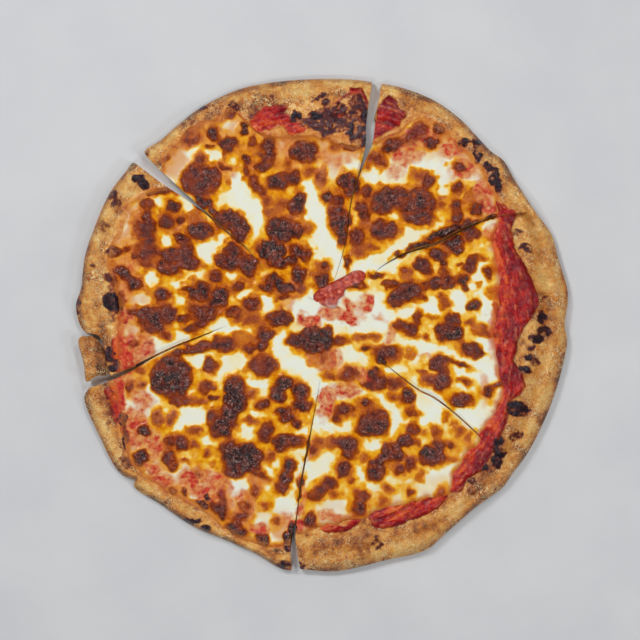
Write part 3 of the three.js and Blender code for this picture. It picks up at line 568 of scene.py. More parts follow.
class Curve:
    """A smooth curve through points, read at shares of its length."""

    def __init__(self, points):
        given = np.array([p[:2] for p in points], float)
        padded = np.vstack([2 * given[0] - given[1], given, 2 * given[-1] - given[-2]])
        t = np.linspace(0, 1, CURVE_STEPS, endpoint=False)[:, None]
        spans = []
        for p0, p1, p2, p3 in zip(padded, padded[1:], padded[2:], padded[3:]):
            d0, d1, d2 = (max(1e-4, np.linalg.norm(b - a)) ** 0.5 for a, b in ((p0, p1), (p1, p2), (p2, p3)))
            m1 = ((p1 - p0) / d0 - (p2 - p0) / (d0 + d1) + (p2 - p1) / d1) * d1
            m2 = ((p2 - p1) / d1 - (p3 - p1) / (d1 + d2) + (p3 - p2) / d2) * d1
            spans.append((2 * t**3 - 3 * t**2 + 1) * p1 + (t**3 - 2 * t**2 + t) * m1
                         + (-2 * t**3 + 3 * t**2) * p2 + (t**3 - t**2) * m2)
        self.points = np.vstack([*spans, given[-1:]])
        steps = np.linalg.norm(np.diff(self.points, axis=0), axis=1)
        self.length_at = np.concatenate([[0], np.cumsum(steps)])
        self.length = self.length_at[-1]
        self.share_of = self.length_at[::CURVE_STEPS] / self.length  # of each given point

    def at(self, share):
        place = np.clip(share, 0, 1) * self.length
        return np.stack([np.interp(place, self.length_at, self.points[:, axis]) for axis in (0, 1)], axis=-1)


def side_of_cut(cut, side, own, gap):
    """One side of a cut: its shared points moved half the opening to that side, then its own points.

    `gap` is how much of each opening this layer has."""
    route = [MEETING_POINT, *cut["shared"], *own]
    moved = []
    for i, (x, y, opening) in enumerate(cut["shared"]):
        start, end = route[i], route[min(i + 2, len(route) - 1)]
        tx, ty = end[0] - start[0], end[1] - start[1]
        scale = side * gap * opening / 2 / math.hypot(tx, ty)
        moved.append((x + ty * scale, y - tx * scale))
    openings = [0.0, *(point[2] for point in cut["shared"]), *(WIDE_OPEN for _ in own)]
    return Curve([MEETING_POINT, *moved, *own]), openings


class Plan:
    """A slice seen from above, by shares across, from cut to cut, and out, from tip to outer line."""

    def __init__(self, data, gap):
        first, second = (CUTS[name] for name in data["cuts"])
        self.first, self.first_open = side_of_cut(first, 1, first["after"], gap)
        self.second, self.second_open = side_of_cut(second, -1, second["before"], gap)
        self.outer = Curve([tuple(self.first.points[-1]), *data["outline"], tuple(self.second.points[-1])])

    def place(self, across, out):
        ends = self.first.points[-1], self.second.points[-1]
        across_ = across[..., None]
        straight = ends[0] * (1 - across_) + ends[1] * across_
        bulge = (self.outer.at(across) - straight) * out[..., None]
        sides = self.first.at(out) * (1 - across_) + self.second.at(out) * across_
        xy = sides + bulge
        return xy[..., 0], xy[..., 1]

    def hub(self):
        x, y = self.place(np.array([0.5]), np.array([0.5]))
        return float(x[0]), float(y[0])

    def length(self, across):
        return np.linalg.norm(self.outer.at(across) - np.array(MEETING_POINT), axis=-1)

    def stop(self, across, edge):
        """The share out at which each way across meets an edge given by points."""
        angle_of = unrolled(edge)
        reach = from_meeting_point(*np.array(edge).T)
        order = np.argsort(angle_of)
        outs = np.linspace(0.5, 1.0, 126)
        x, y = self.place(*np.meshgrid(across, outs))
        angles = np.degrees(np.arctan2(y - MEETING_POINT[1], x - MEETING_POINT[0]))
        middle = np.mean(angle_of)
        angles = middle + (angles - middle + 180) % 360 - 180
        within = from_meeting_point(x, y) < np.interp(angles, angle_of[order], reach[order])
        last = np.clip(within.sum(axis=0) - 1, 0, len(outs) - 1)
        return outs[last]


def unrolled(points):
    """Angles of points about the meeting point, without a step from 180 to -180."""
    angles = np.degrees([math.atan2(y - MEETING_POINT[1], x - MEETING_POINT[0]) for x, y in points])
    return angles[0] + (angles - angles[0] + 180) % 360 - 180


def round_table(rows):
    """Reads rows of (degrees, values...) at angles, going round smoothly."""
    table = np.array(sorted(rows), float)
    turn = [360, *[0] * (table.shape[1] - 1)]
    table = np.vstack([table[-1] - turn, table, table[0] + turn])
    return lambda degrees, column: np.interp(degrees, table[:, 0], table[:, column + 1])


def is_notch(point):
    """Whether a point is where the broken-off block was."""
    return -140 < point[0] < -129 and -31 < point[1] < 0


outer_points = [p for data in SLICES for p in data["outline"] if not is_notch(p)] + CHUNK_OUTLINE[:3]
reach_table = round_table([(math.degrees(math.atan2(y, x)), math.hypot(x, y)) for x, y in outer_points])
rim_table = round_table(RIM)

# ---------------------------------------------------------------------------------------------------
# The heights of crust, sauce and cheese

BASE_TOP = 4.5
SAUCE_BOTTOM = 4.8
SAUCE_TOP = 5.8
CHEESE_BOTTOM = 6.1
CHEESE_THICKNESS = 2.8
CROWN_AT = 0.42  # of the rim's width, in from the outer line
EDGE_SHARE = 0.5  # of the crown's height, at the outer line
RIM_LUMPS = 0.9
BANK_SHARE = 0.96  # of the crown's height, that a bank reaches
BANK_WIDTH = 33  # from the outer line in to where a bank ends
BANK_FULL = 5
BLISTER_HEIGHT = 2.1
CHAR_HEIGHT = 1.6
KNOBBLY_FROM = 0.4  # how browned the cheese is where knobs begin
KNOBBLY_AT = 0.66
BROWNEST = 1.1
KNOB_SHARES = (0.55, 0.27, 0.18)  # of the spots themselves, the big knobs and the small knobs


def bubbles(x, y):
    """Broad swells, from -1 to 1."""
    return (np.sin(x / 7 + 1.3 * np.sin(y / 9)) + np.sin(y / 8 + 1.7 * np.sin(x / 11))) / 2


def rim_inward(x, y):
    """How far in from the pizza's outer line a point is, and the rim's width and crown there."""
    degrees = np.degrees(np.arctan2(y, x))
    inward = np.maximum(0, reach_table(degrees, 0) - np.hypot(x, y))
    return inward, rim_table(degrees, 0), rim_table(degrees, 1)


def crust_top(x, y, bank):
    """The crust's top. `bank` is how far it stays raised inside the rim, under the baked-on edge."""
    inward, width, crown = rim_inward(x, y)
    share = inward / width
    lump = RIM_LUMPS * bubbles(x, y)
    rise = np.sin(math.pi / 2 * np.clip(share / CROWN_AT, 0, 1))
    outer_side = crown * (EDGE_SHARE + (1 - EDGE_SHARE) * rise) + lump * rise
    fall = 0.5 + 0.5 * np.cos(math.pi * np.clip((share - CROWN_AT) / (1 - CROWN_AT), 0, 1))
    inner_side = BASE_TOP + (crown + lump - BASE_TOP) * fall
    bank_fall = smoothstep(BANK_WIDTH, BANK_FULL, inward)
    banked = BASE_TOP + bank * (BANK_SHARE * crown + lump - BASE_TOP) * bank_fall
    smooth = np.where(share < CROWN_AT, outer_side, np.maximum(inner_side, banked))
    craggy = 0.35 * layered(x, y, 6, 5) + (0.26 - 0.1 * bank) * layered(x, y, 1.9, 6, 2)
    return smooth + smoothstep(1.05, 0.8, share) * craggy


def char_at(x, y):
    """How charred the crust or bare sauce is, from 0 to 1."""
    broken = 0.45 + 0.55 * smoothstep(-0.75, 0.05, layered(x, y, 2.6, 32, 2))
    return strongest(*shaken(x, y, 1.5, 3.4, 30), CHARRED, 1.6, -0.8) * broken


def toast_and_shade_at(x, y):
    """How toasted the crust is, from 0 for pale to 1 for brown, with painted shade darkening its outer edge.
    """
    inward, width, _ = rim_inward(x, y)
    share = inward / width
    # The outer edge is darker: partly the crust's own browner baked edge, partly painted shade on the outer
    # slope.
    outer_edge = 0.28 * smoothstep(4.0, 0.5, inward)
    inner_edge = 0.14 * smoothstep(0.7, 1.0, share) * smoothstep(1.5, 1.1, share)
    mottled = 0.3 * layered(x, y, 14, 40) + 0.24 * layered(x, y, 5, 43) + 0.14 * layered(x, y, 2.2, 41, 2)
    return np.clip(0.36 + (outer_edge + inner_edge) + mottled, 0, 1)


def browned_by_spots(x, y):
    """How browned the cheese is, from 0 for cream to 1 for nearly black, how red, and how near spots."""
    total, red, close = np.zeros_like(x), np.zeros_like(x), np.zeros_like(x)
    reach = np.clip(1.05 + 1.2 * layered(x, y, 7, 10, 2), 0.4, 2.6)
    for spots, level, ring_width, redness in TONES:
        for spot in spots:
            if not near(x, y, spot, NEAR_SPOTS):
                continue
            distance, share = edge_distance(x, y, spot)
            core = level * (1 - 0.4 * np.clip(share, 0, 1) ** 2.4) * smoothstep(0.6, -0.5, distance)
            ring = RING_TONE * smoothstep(1, 0, distance / (ring_width * reach))
            total += np.maximum(core, ring) ** 4
            red = np.maximum(red, redness * smoothstep(1.0, -1.0, distance))
            close += smoothstep(7.5, 0, distance) ** 2
    return total**0.25, red, np.sqrt(close)


def knob_value(x, y):
    """How browned a knob of the cheese is."""
    return browned_by_spots(x, y)[0]


def golden_film(x, y, gold, close):
    """The golden film between the spots: each slice's own, uneven, and only where spots are near."""
    gathered = close + 0.5 * layered(x, y, 7, 8, 2) - 0.35 * smoothstep(40, 12, from_meeting_point(x, y))
    pooled = smoothstep(0.5, 0.95, gathered)
    pale = 0.07 + 0.07 * layered(x, y, 9, 7, 2)
    uneven = 0.86 + 0.3 * layered(x, y, 4, 6, 2) + 0.16 * layered(x, y, 1.8, 5, 2)
    return pale + (gold - pale) * pooled * uneven


def cheese_fields(x, y, gold):
    """Browning and redness over the cheese of one slice, and how far its top rises from a plain sheet."""
    wx = x + 1.5 * layered(x, y, 5, 1, 2) + 0.3 * noise(x, y, 1.6, 2)
    wy = y + 1.5 * layered(x, y, 5, 3, 2) + 0.3 * noise(x, y, 1.6, 4)
    direct, red, close = browned_by_spots(wx, wy)
    big, big_cap = big_knobs.read(wx, wy)
    small, small_cap = small_knobs.read(wx, wy)
    browned = sum(share * part for share, part in zip(KNOB_SHARES, (direct, big, small)))
    sx, sy = wx + 2.6 * layered(x, y, 7, 91), wy + 2.6 * layered(x, y, 7, 92)
    broken = 0.65 + 0.35 * smoothstep(-0.6, 0.3, layered(x, y, 2.6, 93, 2))
    red = np.maximum(red, strongest(sx, sy, RED_PATCHES, 3.0, -2.0) * broken)
    open_cheese = strongest(wx, wy, [(spot, 1.0) for spot in CREAM], 2.6, -0.6)
    film = golden_film(x, y, gold, close) * (1 - 0.8 * open_cheese)
    knobbly = smoothstep(KNOBBLY_FROM, KNOBBLY_AT, browned)
    lumps = 1.2 * big_cap + 0.65 * small_cap + 0.25 * layered(x, y, 1.7, 15, 2)
    level = np.maximum(browned, film) + 0.15 * np.minimum(browned, film)
    capped = 0.5 * big_cap + 0.5 * small_cap - 0.5
    level = level + knobbly * (0.24 * layered(x, y, 3.0, 9, 2) + 0.16 * capped)
    height = BLISTER_HEIGHT * smoothstep(0.25, 1.0, browned) + knobbly * lumps
    height += 0.4 * bubbles(x * 1.3 + 20, y * 1.3) + 0.16 * layered(x, y, 4, 13)
    height += 0.55 * big_cap * smoothstep(0.14, 0.3, level) * (1 - knobbly)
    char = strongest(wx, wy, CHARRED, 1.0, -1.0)
    browning = np.clip(np.maximum(level, char), 0, BROWNEST)
    return {"browning": browning, "red": red}, np.maximum(height, CHAR_HEIGHT * char)


# ---------------------------------------------------------------------------------------------------
# Meshes

CORNER_REACH = 7  # how far along a cut's side the outer line's inset fades out
HEM = 0.25  # the least thickness of a sheet's edge
HEM_WIDTH = 12
MOUND_COLUMNS, MOUND_RINGS = 180, 40
MOUND_DEPTHS = (0.25, 0.5, 0.75, 1.0)  # of the loops down a mound's wall
CLEARLY_OPEN = 0.9  # the opening from which a sheet's edge is rounded in full


def mesh_object(name, points, quads, triangles, values, sharp=()):
    """An object from arrays: points in mm, faces by index, values as point attributes.

    `sharp` is a path of points along which the shading breaks."""
    mesh = bpy.data.meshes.new(name)
    mesh.vertices.add(len(points))
    mesh.vertices.foreach_set("co", (points * MM).ravel())
    corners = np.concatenate([quads.ravel(), triangles.ravel()]).astype(np.int32)
    mesh.loops.add(len(corners))
    mesh.loops.foreach_set("vertex_index", corners)
    starts = np.concatenate([np.arange(len(quads)) * 4, len(quads) * 4 + np.arange(len(triangles)) * 3])
    mesh.polygons.add(len(starts))
    mesh.polygons.foreach_set("loop_start", starts.astype(np.int32))
    mesh.update(calc_edges=True)
    mesh.validate()
    mesh.shade_smooth()
    for key, value in values.items():
        layer = mesh.attributes.new(key, "FLOAT", "POINT")
        layer.data.foreach_set("value", value.astype(np.float32))
    if len(sharp):
        ends = np.empty(len(mesh.edges) * 2, np.int32)
        mesh.edges.foreach_get("vertices", ends)
        rank = np.full(len(points), -10)
        rank[sharp] = np.arange(len(sharp))
        a, b = rank[ends[::2]], rank[ends[1::2]]
        layer = mesh.attributes.new("sharp_edge", "BOOLEAN", "EDGE")
        layer.data.foreach_set("value", (a >= 0) & (b >= 0) & (abs(a - b) == 1))
    made = bpy.data.objects.new(name, mesh)
    bpy.context.scene.collection.objects.link(made)
    return made


def wedge(name, x, y, z, tip_z, skirts, hub, values):
    """A closed wedge under a grid of points, whose rows run outward from the meeting point.

    Each skirt takes the loop above it, as points and how near each is to the outer line, and gives
    the next loop down. The last loop is closed by a fan from the hub."""
    rows, steps = x.shape
    placed = np.vstack([[[*MEETING_POINT, tip_z]], np.stack([x, y, z], axis=-1).reshape(-1, 3)])
    at = 1 + np.arange(rows * steps).reshape(rows, steps)
    quads = [np.stack([at[:-1, :-1], at[:-1, 1:], at[1:, 1:], at[1:, :-1]], axis=-1).reshape(-1, 4)]
    triangles = [np.stack([np.zeros(steps - 1, int), at[0, 1:], at[0, :-1]], axis=-1)]
    loop = np.concatenate([[0], at[:-1, -1], at[-1, ::-1], at[-2::-1, 0]])
    ring = placed[loop]
    to_corner = np.minimum(*(np.hypot(ring[:, 0] - placed[c, 0], ring[:, 1] - placed[c, 1])
                             for c in (at[-1, -1], at[-1, 0])))
    outer = np.zeros(len(loop))
    outer[rows: rows + steps] = 1
    outer = np.maximum(outer, np.clip(1 - to_corner / CORNER_REACH, 0, 1))
    points, origin, upper, count = [placed], [np.arange(len(placed))], loop, len(placed)
    for skirt in skirts:
        ring = np.stack(skirt(*ring.T, outer), axis=-1)
        lower = count + np.arange(len(loop))
        points.append(ring)
        origin.append(loop)
        quads.append(np.stack([upper, lower, np.roll(lower, -1), np.roll(upper, -1)], axis=-1))
        upper, count = lower, count + len(loop)
    points.append([[*hub, ring[:, 2].min()]])
    origin = np.concatenate([*origin, [0]])
    triangles.append(np.stack([np.full(len(upper), count), np.roll(upper, -1), upper], axis=-1))
    carried = {"wall": np.where(np.arange(len(origin)) < len(placed), 0.0, 1.0)}
    for key, value in values.items():
        carried[key] = np.concatenate([[value[0].mean()], value.ravel()])[origin]
    sides = np.concatenate([at[-1:0:-1, 0], at[0:1, 0], [0], at[:, -1]])
    return mesh_object(name, np.vstack(points), np.vstack(quads), np.vstack(triangles), carried, sides)


def mound(name, outline, hub, bottom, top_at, edge_share, values_at):
    """A closed solid over an outline seen from the hub, its top given by points and their share out."""
    steps, rings = MOUND_COLUMNS, MOUND_RINGS
    edge_x, edge_y = Curve([*outline, outline[0]]).at(np.linspace(0, 1, steps, endpoint=False)).T
    share = (np.arange(1, rings + 1) / rings)[:, None]
    x = hub[0] + (edge_x - hub[0]) * share
    y = hub[1] + (edge_y - hub[1]) * share
    z = top_at(x, y, np.broadcast_to(share, x.shape))
    grids = [np.stack([x, y, z], axis=-1).reshape(-1, 3)]
    for depth in MOUND_DEPTHS:
        rough = 1 + 0.012 * layered(edge_x * 2 + 9 * depth, edge_y * 2 + 30 * depth, 3, 70)
        inset = (1 - edge_share * math.sin(math.pi / 2 * depth)) * rough
        lower = bottom + (z[-1] - bottom) * (1 - depth)
        wall_x, wall_y = hub[0] + (edge_x - hub[0]) * inset, hub[1] + (edge_y - hub[1]) * inset
        grids.append(np.stack([wall_x, wall_y, lower], axis=-1))
    top_z = top_at(np.array([[hub[0]]]), np.array([[hub[1]]]), np.zeros((1, 1)))[0, 0]
    points = np.vstack([[[*hub, top_z]], *grids, [[*hub, bottom]]])
    loops = 1 + np.arange((rings + len(MOUND_DEPTHS)) * steps).reshape(-1, steps)
    after = np.roll(loops, -1, axis=1)
    quads = np.stack([loops[:-1], loops[1:], after[1:], after[:-1]], axis=-1).reshape(-1, 4)
    zero, last = np.zeros(steps, int), np.full(steps, len(points) - 1)
    triangles = np.vstack([np.stack([zero, loops[0], after[0]], axis=-1),
                           np.stack([last, after[-1], loops[-1]], axis=-1)])
    values = values_at(points[:, 0], points[:, 1])
    values["wall"] = np.where(np.arange(len(points)) <= rings * steps, 0.0, 1.0)
    return mesh_object(name, points, quads, triangles, values)


def finish_piece(piece, material, node):
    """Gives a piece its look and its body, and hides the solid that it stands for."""
    piece.data.materials.append(material)
    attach(piece, "root")
    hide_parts(node)


def lowered(share, inset):
    """A skirt that drops a share of the height that is left and draws the outer line in by inset."""
    return lambda x, y, z, outer: (*drawn_in(x, y, outer * inset), z * (1 - share))


def tucked(inset, level):
    """A skirt that draws the outer line in by inset, down to a level."""
    return lambda x, y, z, outer: (*drawn_in(x, y, outer * inset), np.full_like(x, level))


def sheet_bottom(height_at):
    """Skirts for a sheet that lies on a surface: its edge, then a ring further in and flat."""
    def edge(x, y, z, outer):
        return x, y, np.minimum(z - HEM, height_at(x, y))

    def inner(x, y, z, outer):
        width = np.minimum(HEM_WIDTH, 0.9 * np.maximum(from_meeting_point(x, y), 1))
        return (*drawn_in(x, y, outer * width), np.full_like(z, z.min()))
    return [edge, inner]


def openness(curve, openings, out):
    """How far apart the slices stand at a share along a cut's side, as 0 to 1."""
    return np.clip(np.interp(out, curve.share_of[: len(openings)], openings) / CLEARLY_OPEN, 0, 1)


# ---------------------------------------------------------------------------------------------------
# The pieces

# How much of each cut's opening a layer has: the crust stands closer than the cheese on it.
CRUST_GAP = 0.1
SAUCE_GAP = 0.6
CHEESE_GAP = 1.5

CRUST_COLUMNS, CRUST_INNER_ROWS, CRUST_RIM_ROWS = 230, 14, 74
SAUCE_COLUMNS, SAUCE_COVERED_ROWS, SAUCE_BARE_ROWS = 200, 10, 46
CHEESE_COLUMNS, CHEESE_ROWS = 236, 186

# How each loop of the crust's wall drops and moves in, from the top down: the wall bulges outward.
CRUST_WALL = [(0.2, -0.35), (0.25, -0.2), (0.33, 0.1), (0.45, 0.35), (0.6, 0.6)]
CRUST_TUCK = 0.9
LEAST_SAUCE_BAND = 0.012  # share out from the tip
CUT_ROUNDING = 2.6  # how far from an open cut the cheese rounds down
CUT_DROP = 1.8
CHUNK_HUB = (-142.5, -20)
CHUNK_TOP = 13.3
CHUNK_FLANK = (-141.5, -134)  # from and to which x the flank falls
TOMATO_HUB = (11, 22.5)
TOMATO_BOTTOM = 8.6
TOMATO_TOP = 9.4
TOMATO_RISE = 2.6


def build_crust(number, data, material):
    plan = Plan(data, CRUST_GAP)
    outs = [np.linspace(0.05, 0.66, CRUST_INNER_ROWS), np.linspace(0.68, 1.0, CRUST_RIM_ROWS)]
    x, y = plan.place(*np.meshgrid(np.linspace(0, 1, CRUST_COLUMNS), np.concatenate(outs)))
    char = char_at(x, y)
    z = crust_top(x, y, data["bank"]) + char * (0.8 + 0.5 * layered(x, y, 3, 42))
    # Painted shade: the crust under the toppings is painted dark brown, so the gaps between the slices look
    # dark.
    painted_gap_shade = smoothstep(26, 32, rim_inward(x, y)[0])
    values = {"char": char, "toast_and_shade": np.maximum(toast_and_shade_at(x, y), painted_gap_shade)}
    skirts = [lowered(share, inset) for share, inset in CRUST_WALL]
    skirts += [tucked(CRUST_TUCK, 0.35), tucked(CRUST_TUCK, 0.0)]
    made = wedge(f"slice_{number}_crust", x, y, z, BASE_TOP, skirts, plan.hub(), values)
    finish_piece(made, material, f"crust_{number}")


def build_sauce(number, data, material):
    plan, bank = Plan(data, SAUCE_GAP), data["bank"]
    line = np.linspace(0, 1, SAUCE_COLUMNS)
    cheese_stop = plan.stop(line, data["cheese"])
    sauce_stop = np.maximum(plan.stop(line, data["sauce"]), cheese_stop + LEAST_SAUCE_BAND)
    sauce_stop = sauce_stop + 0.004 * layered(line * 300, line * 0, 7, 50)
    covered = cheese_stop * np.linspace(0.06, 0.97, SAUCE_COVERED_ROWS)[:, None]
    bare_from = cheese_stop * 0.985
    bare_rows = bare_from + (sauce_stop - bare_from) * np.linspace(0, 1, SAUCE_BARE_ROWS)[:, None]
    out = np.vstack([covered, bare_rows])
    x, y = plan.place(np.broadcast_to(line, out.shape), out)
    to_edge = (sauce_stop - out) * plan.length(line)
    across_band = (out - cheese_stop) / (sauce_stop - cheese_stop)
    floor = np.maximum(SAUCE_BOTTOM - 0.3, crust_top(x, y, bank))
    angle, radius = np.degrees(np.arctan2(y, x)), np.hypot(x, y)
    streak = layered(angle * 1.1 + 4 * layered(x, y, 12, 51), radius * 2.2, 5, 52)
    wrinkle = layered(angle * 2.6 + 3 * layered(x, y, 8, 53), radius * 3.2, 5, 54)
    wx, wy = shaken(x, y, 0.9, 4, 56)
    wet = smoothstep(-0.5, 0.9, np.max([inside(wx, wy, outline) for outline in WET_SAUCE], axis=0))
    folds = 1 - 2 * np.abs(layered(wx, wy, 6, 62, 2))
    relief = np.maximum(0.25, 1.0 + 0.55 * streak + 0.3 * wrinkle + 0.6 * folds)
    taper = smoothstep(0, 2.6, to_edge)
    wet_z = np.maximum(SAUCE_TOP, floor + 0.25) + taper * relief
    dry_z = np.maximum(floor, SAUCE_TOP) + 0.05 + (0.5 + 0.3 * layered(x, y, 5, 58)) * taper
    z = np.where(out < cheese_stop * 0.98, SAUCE_TOP, wet_z * wet + dry_z * (1 - wet))
    char = char_at(x, y)
    bare = smoothstep(-0.004, 0.012, out - cheese_stop)
    z = z + (0.9 + 0.5 * layered(x, y, 2.5, 59)) * char * bare
    values = {
        "char": char,
        "toast_and_shade": np.clip(toast_and_shade_at(x, y) + 0.18, 0, 1),
        "wet": wet,
        "orange": np.clip(0.6 - 0.5 * across_band + 0.4 * layered(x, y, 9, 55) + 0.25 * streak, 0, 1),
        "wrinkle": np.clip(0.5 + 0.5 * wrinkle, 0, 1),
        # Painted shade: the low folds of the wet sauce are darkened.
        "fold": smoothstep(1.3, 0.2, relief),
        "edge": smoothstep(2.2, 0, to_edge) * wet,
        "glazed": smoothstep(0.75, 0.05, across_band + 0.35 * layered(x, y, 5, 63)),
    }
    bottom = sheet_bottom(lambda px, py: np.maximum(SAUCE_BOTTOM, crust_top(px, py, bank) - 0.1))
    made = wedge(f"slice_{number}_sauce", x, y, z, SAUCE_TOP, bottom, plan.hub(), values)
    finish_piece(made, material, f"sauce_{number}")


def build_cheese(number, data, material):
    plan, bank = Plan(data, CHEESE_GAP), data["bank"]
    line = np.linspace(0, 1, CHEESE_COLUMNS)
    stop = np.convolve(np.pad(plan.stop(line, data["cheese"]), 4, mode="edge"), np.ones(9) / 9, mode="valid")
    ragged = 0.006 * layered(line * 150, line * 0, 6, 60)
    stop = stop + ragged * smoothstep(0, 0.04, line) * smoothstep(1, 0.96, line)
    out = stop * (np.arange(1, CHEESE_ROWS + 1) / CHEESE_ROWS)[:, None]
    across = np.broadcast_to(line, out.shape)
    x, y = plan.place(across, out)
    values, height = cheese_fields(x, y, data["gold"])
    to_edge = (stop - out) * plan.length(line)
    taper = smoothstep(-0.6, 3.5, to_edge) ** 0.6
    width = np.hypot(np.diff(x, axis=1), np.diff(y, axis=1)).sum(axis=1)[:, None]
    first = openness(plan.first, plan.first_open, out[:, :1])
    second = openness(plan.second, plan.second_open, out[:, -1:])
    rounding = np.maximum(first * smoothstep(CUT_ROUNDING, 0, across * width),
                          second * smoothstep(CUT_ROUNDING, 0, (1 - across) * width))
    toasted = data["toasted_edge"] * smoothstep(5.5, 0.8, to_edge) * (1 + 0.4 * layered(x, y, 5, 61))
    torn = rounding * (0.35 * layered(x, y, 12, 64) - 0.1)
    values["browning"] = np.clip(np.maximum(values["browning"], toasted) + torn, 0, BROWNEST)
    ragged_edge = smoothstep(5.0, 0.4, to_edge + 2.2 * layered(x, y, 4, 65, 2))
    values["seep"] = (1 - bank) * ragged_edge
    values["baked"] = bank * ragged_edge
    values["peach"] = bank * smoothstep(30, 6, to_edge) * smoothstep(-0.5, 0.3, layered(x, y, 9, 66, 2))
    thickness = (CHEESE_THICKNESS + height) * (0.22 + 0.78 * taper) - CUT_DROP * rounding**2
    film = 0.35 + 0.45 * height * taper
    z = np.maximum(CHEESE_BOTTOM + thickness, crust_top(x, y, bank) + 0.3 + film)
    bottom = sheet_bottom(lambda px, py: np.maximum(CHEESE_BOTTOM - 0.1, crust_top(px, py, bank)))
    made = wedge(f"slice_{number}_cheese", x, y, z, z[0].mean(), bottom, plan.hub(), values)
    finish_piece(made, material, f"cheese_{number}")


def build_chunk(material):
    """The block of rim broken off at the left, brown on top; its darker right flank is partly crumb, partly
    painted shade.
    """
    def top(x, y, share):
        shoulder = 2.6 * smoothstep(0.72, 1.0, share) ** 2
        flank = 2.8 * smoothstep(*CHUNK_FLANK, x)
        return CHUNK_TOP - shoulder - flank + 0.5 * layered(x, y, 4, 71) + 0.25 * layered(x, y, 1.3, 72, 2)

    def values(x, y):
        # The darker right flank: partly the crumb's own darker tone, partly painted shade.
        dark = smoothstep(-141.5, -138.5, x + 0.05 * y + 1)
        toast_and_shade = np.clip(0.58 + 0.3 * dark + 0.25 * layered(x, y, 5, 77, 2), 0, 1)
        return {"char": 0.3 * dark * (0.7 + 0.5 * layered(x, y, 3, 73)), "toast_and_shade": toast_and_shade}

    made = mound("chunk_of_rim", CHUNK_OUTLINE[::-1], CHUNK_HUB, 0, top, 0.1, values)
    finish_piece(made, material, "crust_chunk")


def build_tomato(material):
    """The strip of tomato on the cheese: a long lobe folded over a shorter one."""
    def top(x, y, share):
        rise = TOMATO_RISE * np.sqrt(np.clip(1 - share**3, 0, 1))
        across_fold = y - 0.62 * x - 15.6 + 0.5 * noise(x, y, 5, 74)
        fold = 1.1 * np.exp(-(across_fold / 0.9) ** 2) * smoothstep(12, 6, x)
        return TOMATO_TOP + rise - fold + 0.35 * layered(x, y, 2.2, 75)

    def values(x, y):
        pale = smoothstep(12.5, 10, y - 0.2 * x)
        return {"pale": np.clip(pale + 0.35 * layered(x, y, 3, 76), 0, 1)}

    made = mound("tomato_strip", TOMATO_OUTLINE, TOMATO_HUB, TOMATO_BOTTOM, top, -0.02, values)
    finish_piece(made, material, "tomato_piece")


# ---------------------------------------------------------------------------------------------------
# Materials


def linear(r, g, b):
    """A colour given as 0 to 255 screen values, for a shader."""
    def one(value):
        value /= 255
        return value / 12.92 if value <= 0.04045 else ((value + 0.055) / 1.055) ** 2.4
    return (one(r), one(g), one(b), 1.0)


class Shader:
    """A material under construction. Sizes and depths are in mm, and colours are screen values."""

    def __init__(self, name, roughness, **sockets):
        self.material = bpy.data.materials.new(name)
        self.material.use_nodes = True
        self.nodes = self.material.node_tree.nodes
        self.links = self.material.node_tree.links
        self.surface = self.nodes["Principled BSDF"]
        self.surface.inputs["Roughness"].default_value = roughness
        for key, value in sockets.items():
            self.surface.inputs[key.replace("_", " ")].default_value = value
        self.place = self.node("TexCoord", {}, "Object")

    def node(self, kind, inputs, output=0, **settings):
        """A new node with its settings and inputs: numbers, colours or other nodes' outputs."""
        made = self.nodes.new("ShaderNode" + kind)
        for key, value in settings.items():
            setattr(made, key, value)
        for key, value in inputs.items():
            if isinstance(value, tuple):
                made.inputs[key].default_value = linear(*value)
            elif isinstance(value, (int, float)):
                made.inputs[key].default_value = value
            else:
                self.links.new(value, made.inputs[key])
        return made.outputs[output]

    def attribute(self, name):
        return self.node("Attribute", {}, "Fac", attribute_type="GEOMETRY", attribute_name=name)

    def noise(self, size, detail=3.0, distortion=0.0):
        inputs = {"Scale": 1 / (size * MM), "Detail": detail, "Distortion": distortion, "Vector": self.place}
        return self.node("TexNoise", inputs, "Fac")

    def math(self, operation, a, b=0.0, clamp=False):
        return self.node("Math", {0: a, 1: b}, operation=operation, use_clamp=clamp)

    def times(self, a, b):
        return self.math("MULTIPLY", a, b)

    def plus(self, a, b, clamp=False):
        return self.math("ADD", a, b, clamp)

    def centred(self, value):
        """A value from 0 to 1 moved to run from -0.5 to 0.5."""
        return self.math("SUBTRACT", value, 0.5)

    def remap(self, value, low, high, to_low=0.0, to_high=1.0):
        inputs = {"Value": value, "From Min": low, "From Max": high, "To Min": to_low, "To Max": to_high}
        return self.node("MapRange", inputs, "Result")

    def ramp(self, value, stops):
        output = self.node("ValToRGB", {"Fac": value}, "Color")
        elements = output.node.color_ramp.elements
        while len(elements) < len(stops):
            elements.new(0.5)
        for element, (place, colour) in zip(elements, stops):
            element.position = place
            element.color = linear(*colour)
        return output

    def mix(self, share, a, b):
        return self.node("Mix", {"Factor": share, 6: a, 7: b}, 2, data_type="RGBA")

    def bump(self, height, depth, strength, after=None):
        inputs = {"Strength": strength, "Distance": depth * MM, "Height": height}
        if after is not None:
            inputs["Normal"] = after
        return self.node("Bump", inputs, "Normal")

    def done(self, colour, normal=None, roughness=None):
        for key, value in (("Base Color", colour), ("Normal", normal), ("Roughness", roughness)):
            if value is not None:
                self.links.new(value, self.surface.inputs[key])
        return self.material


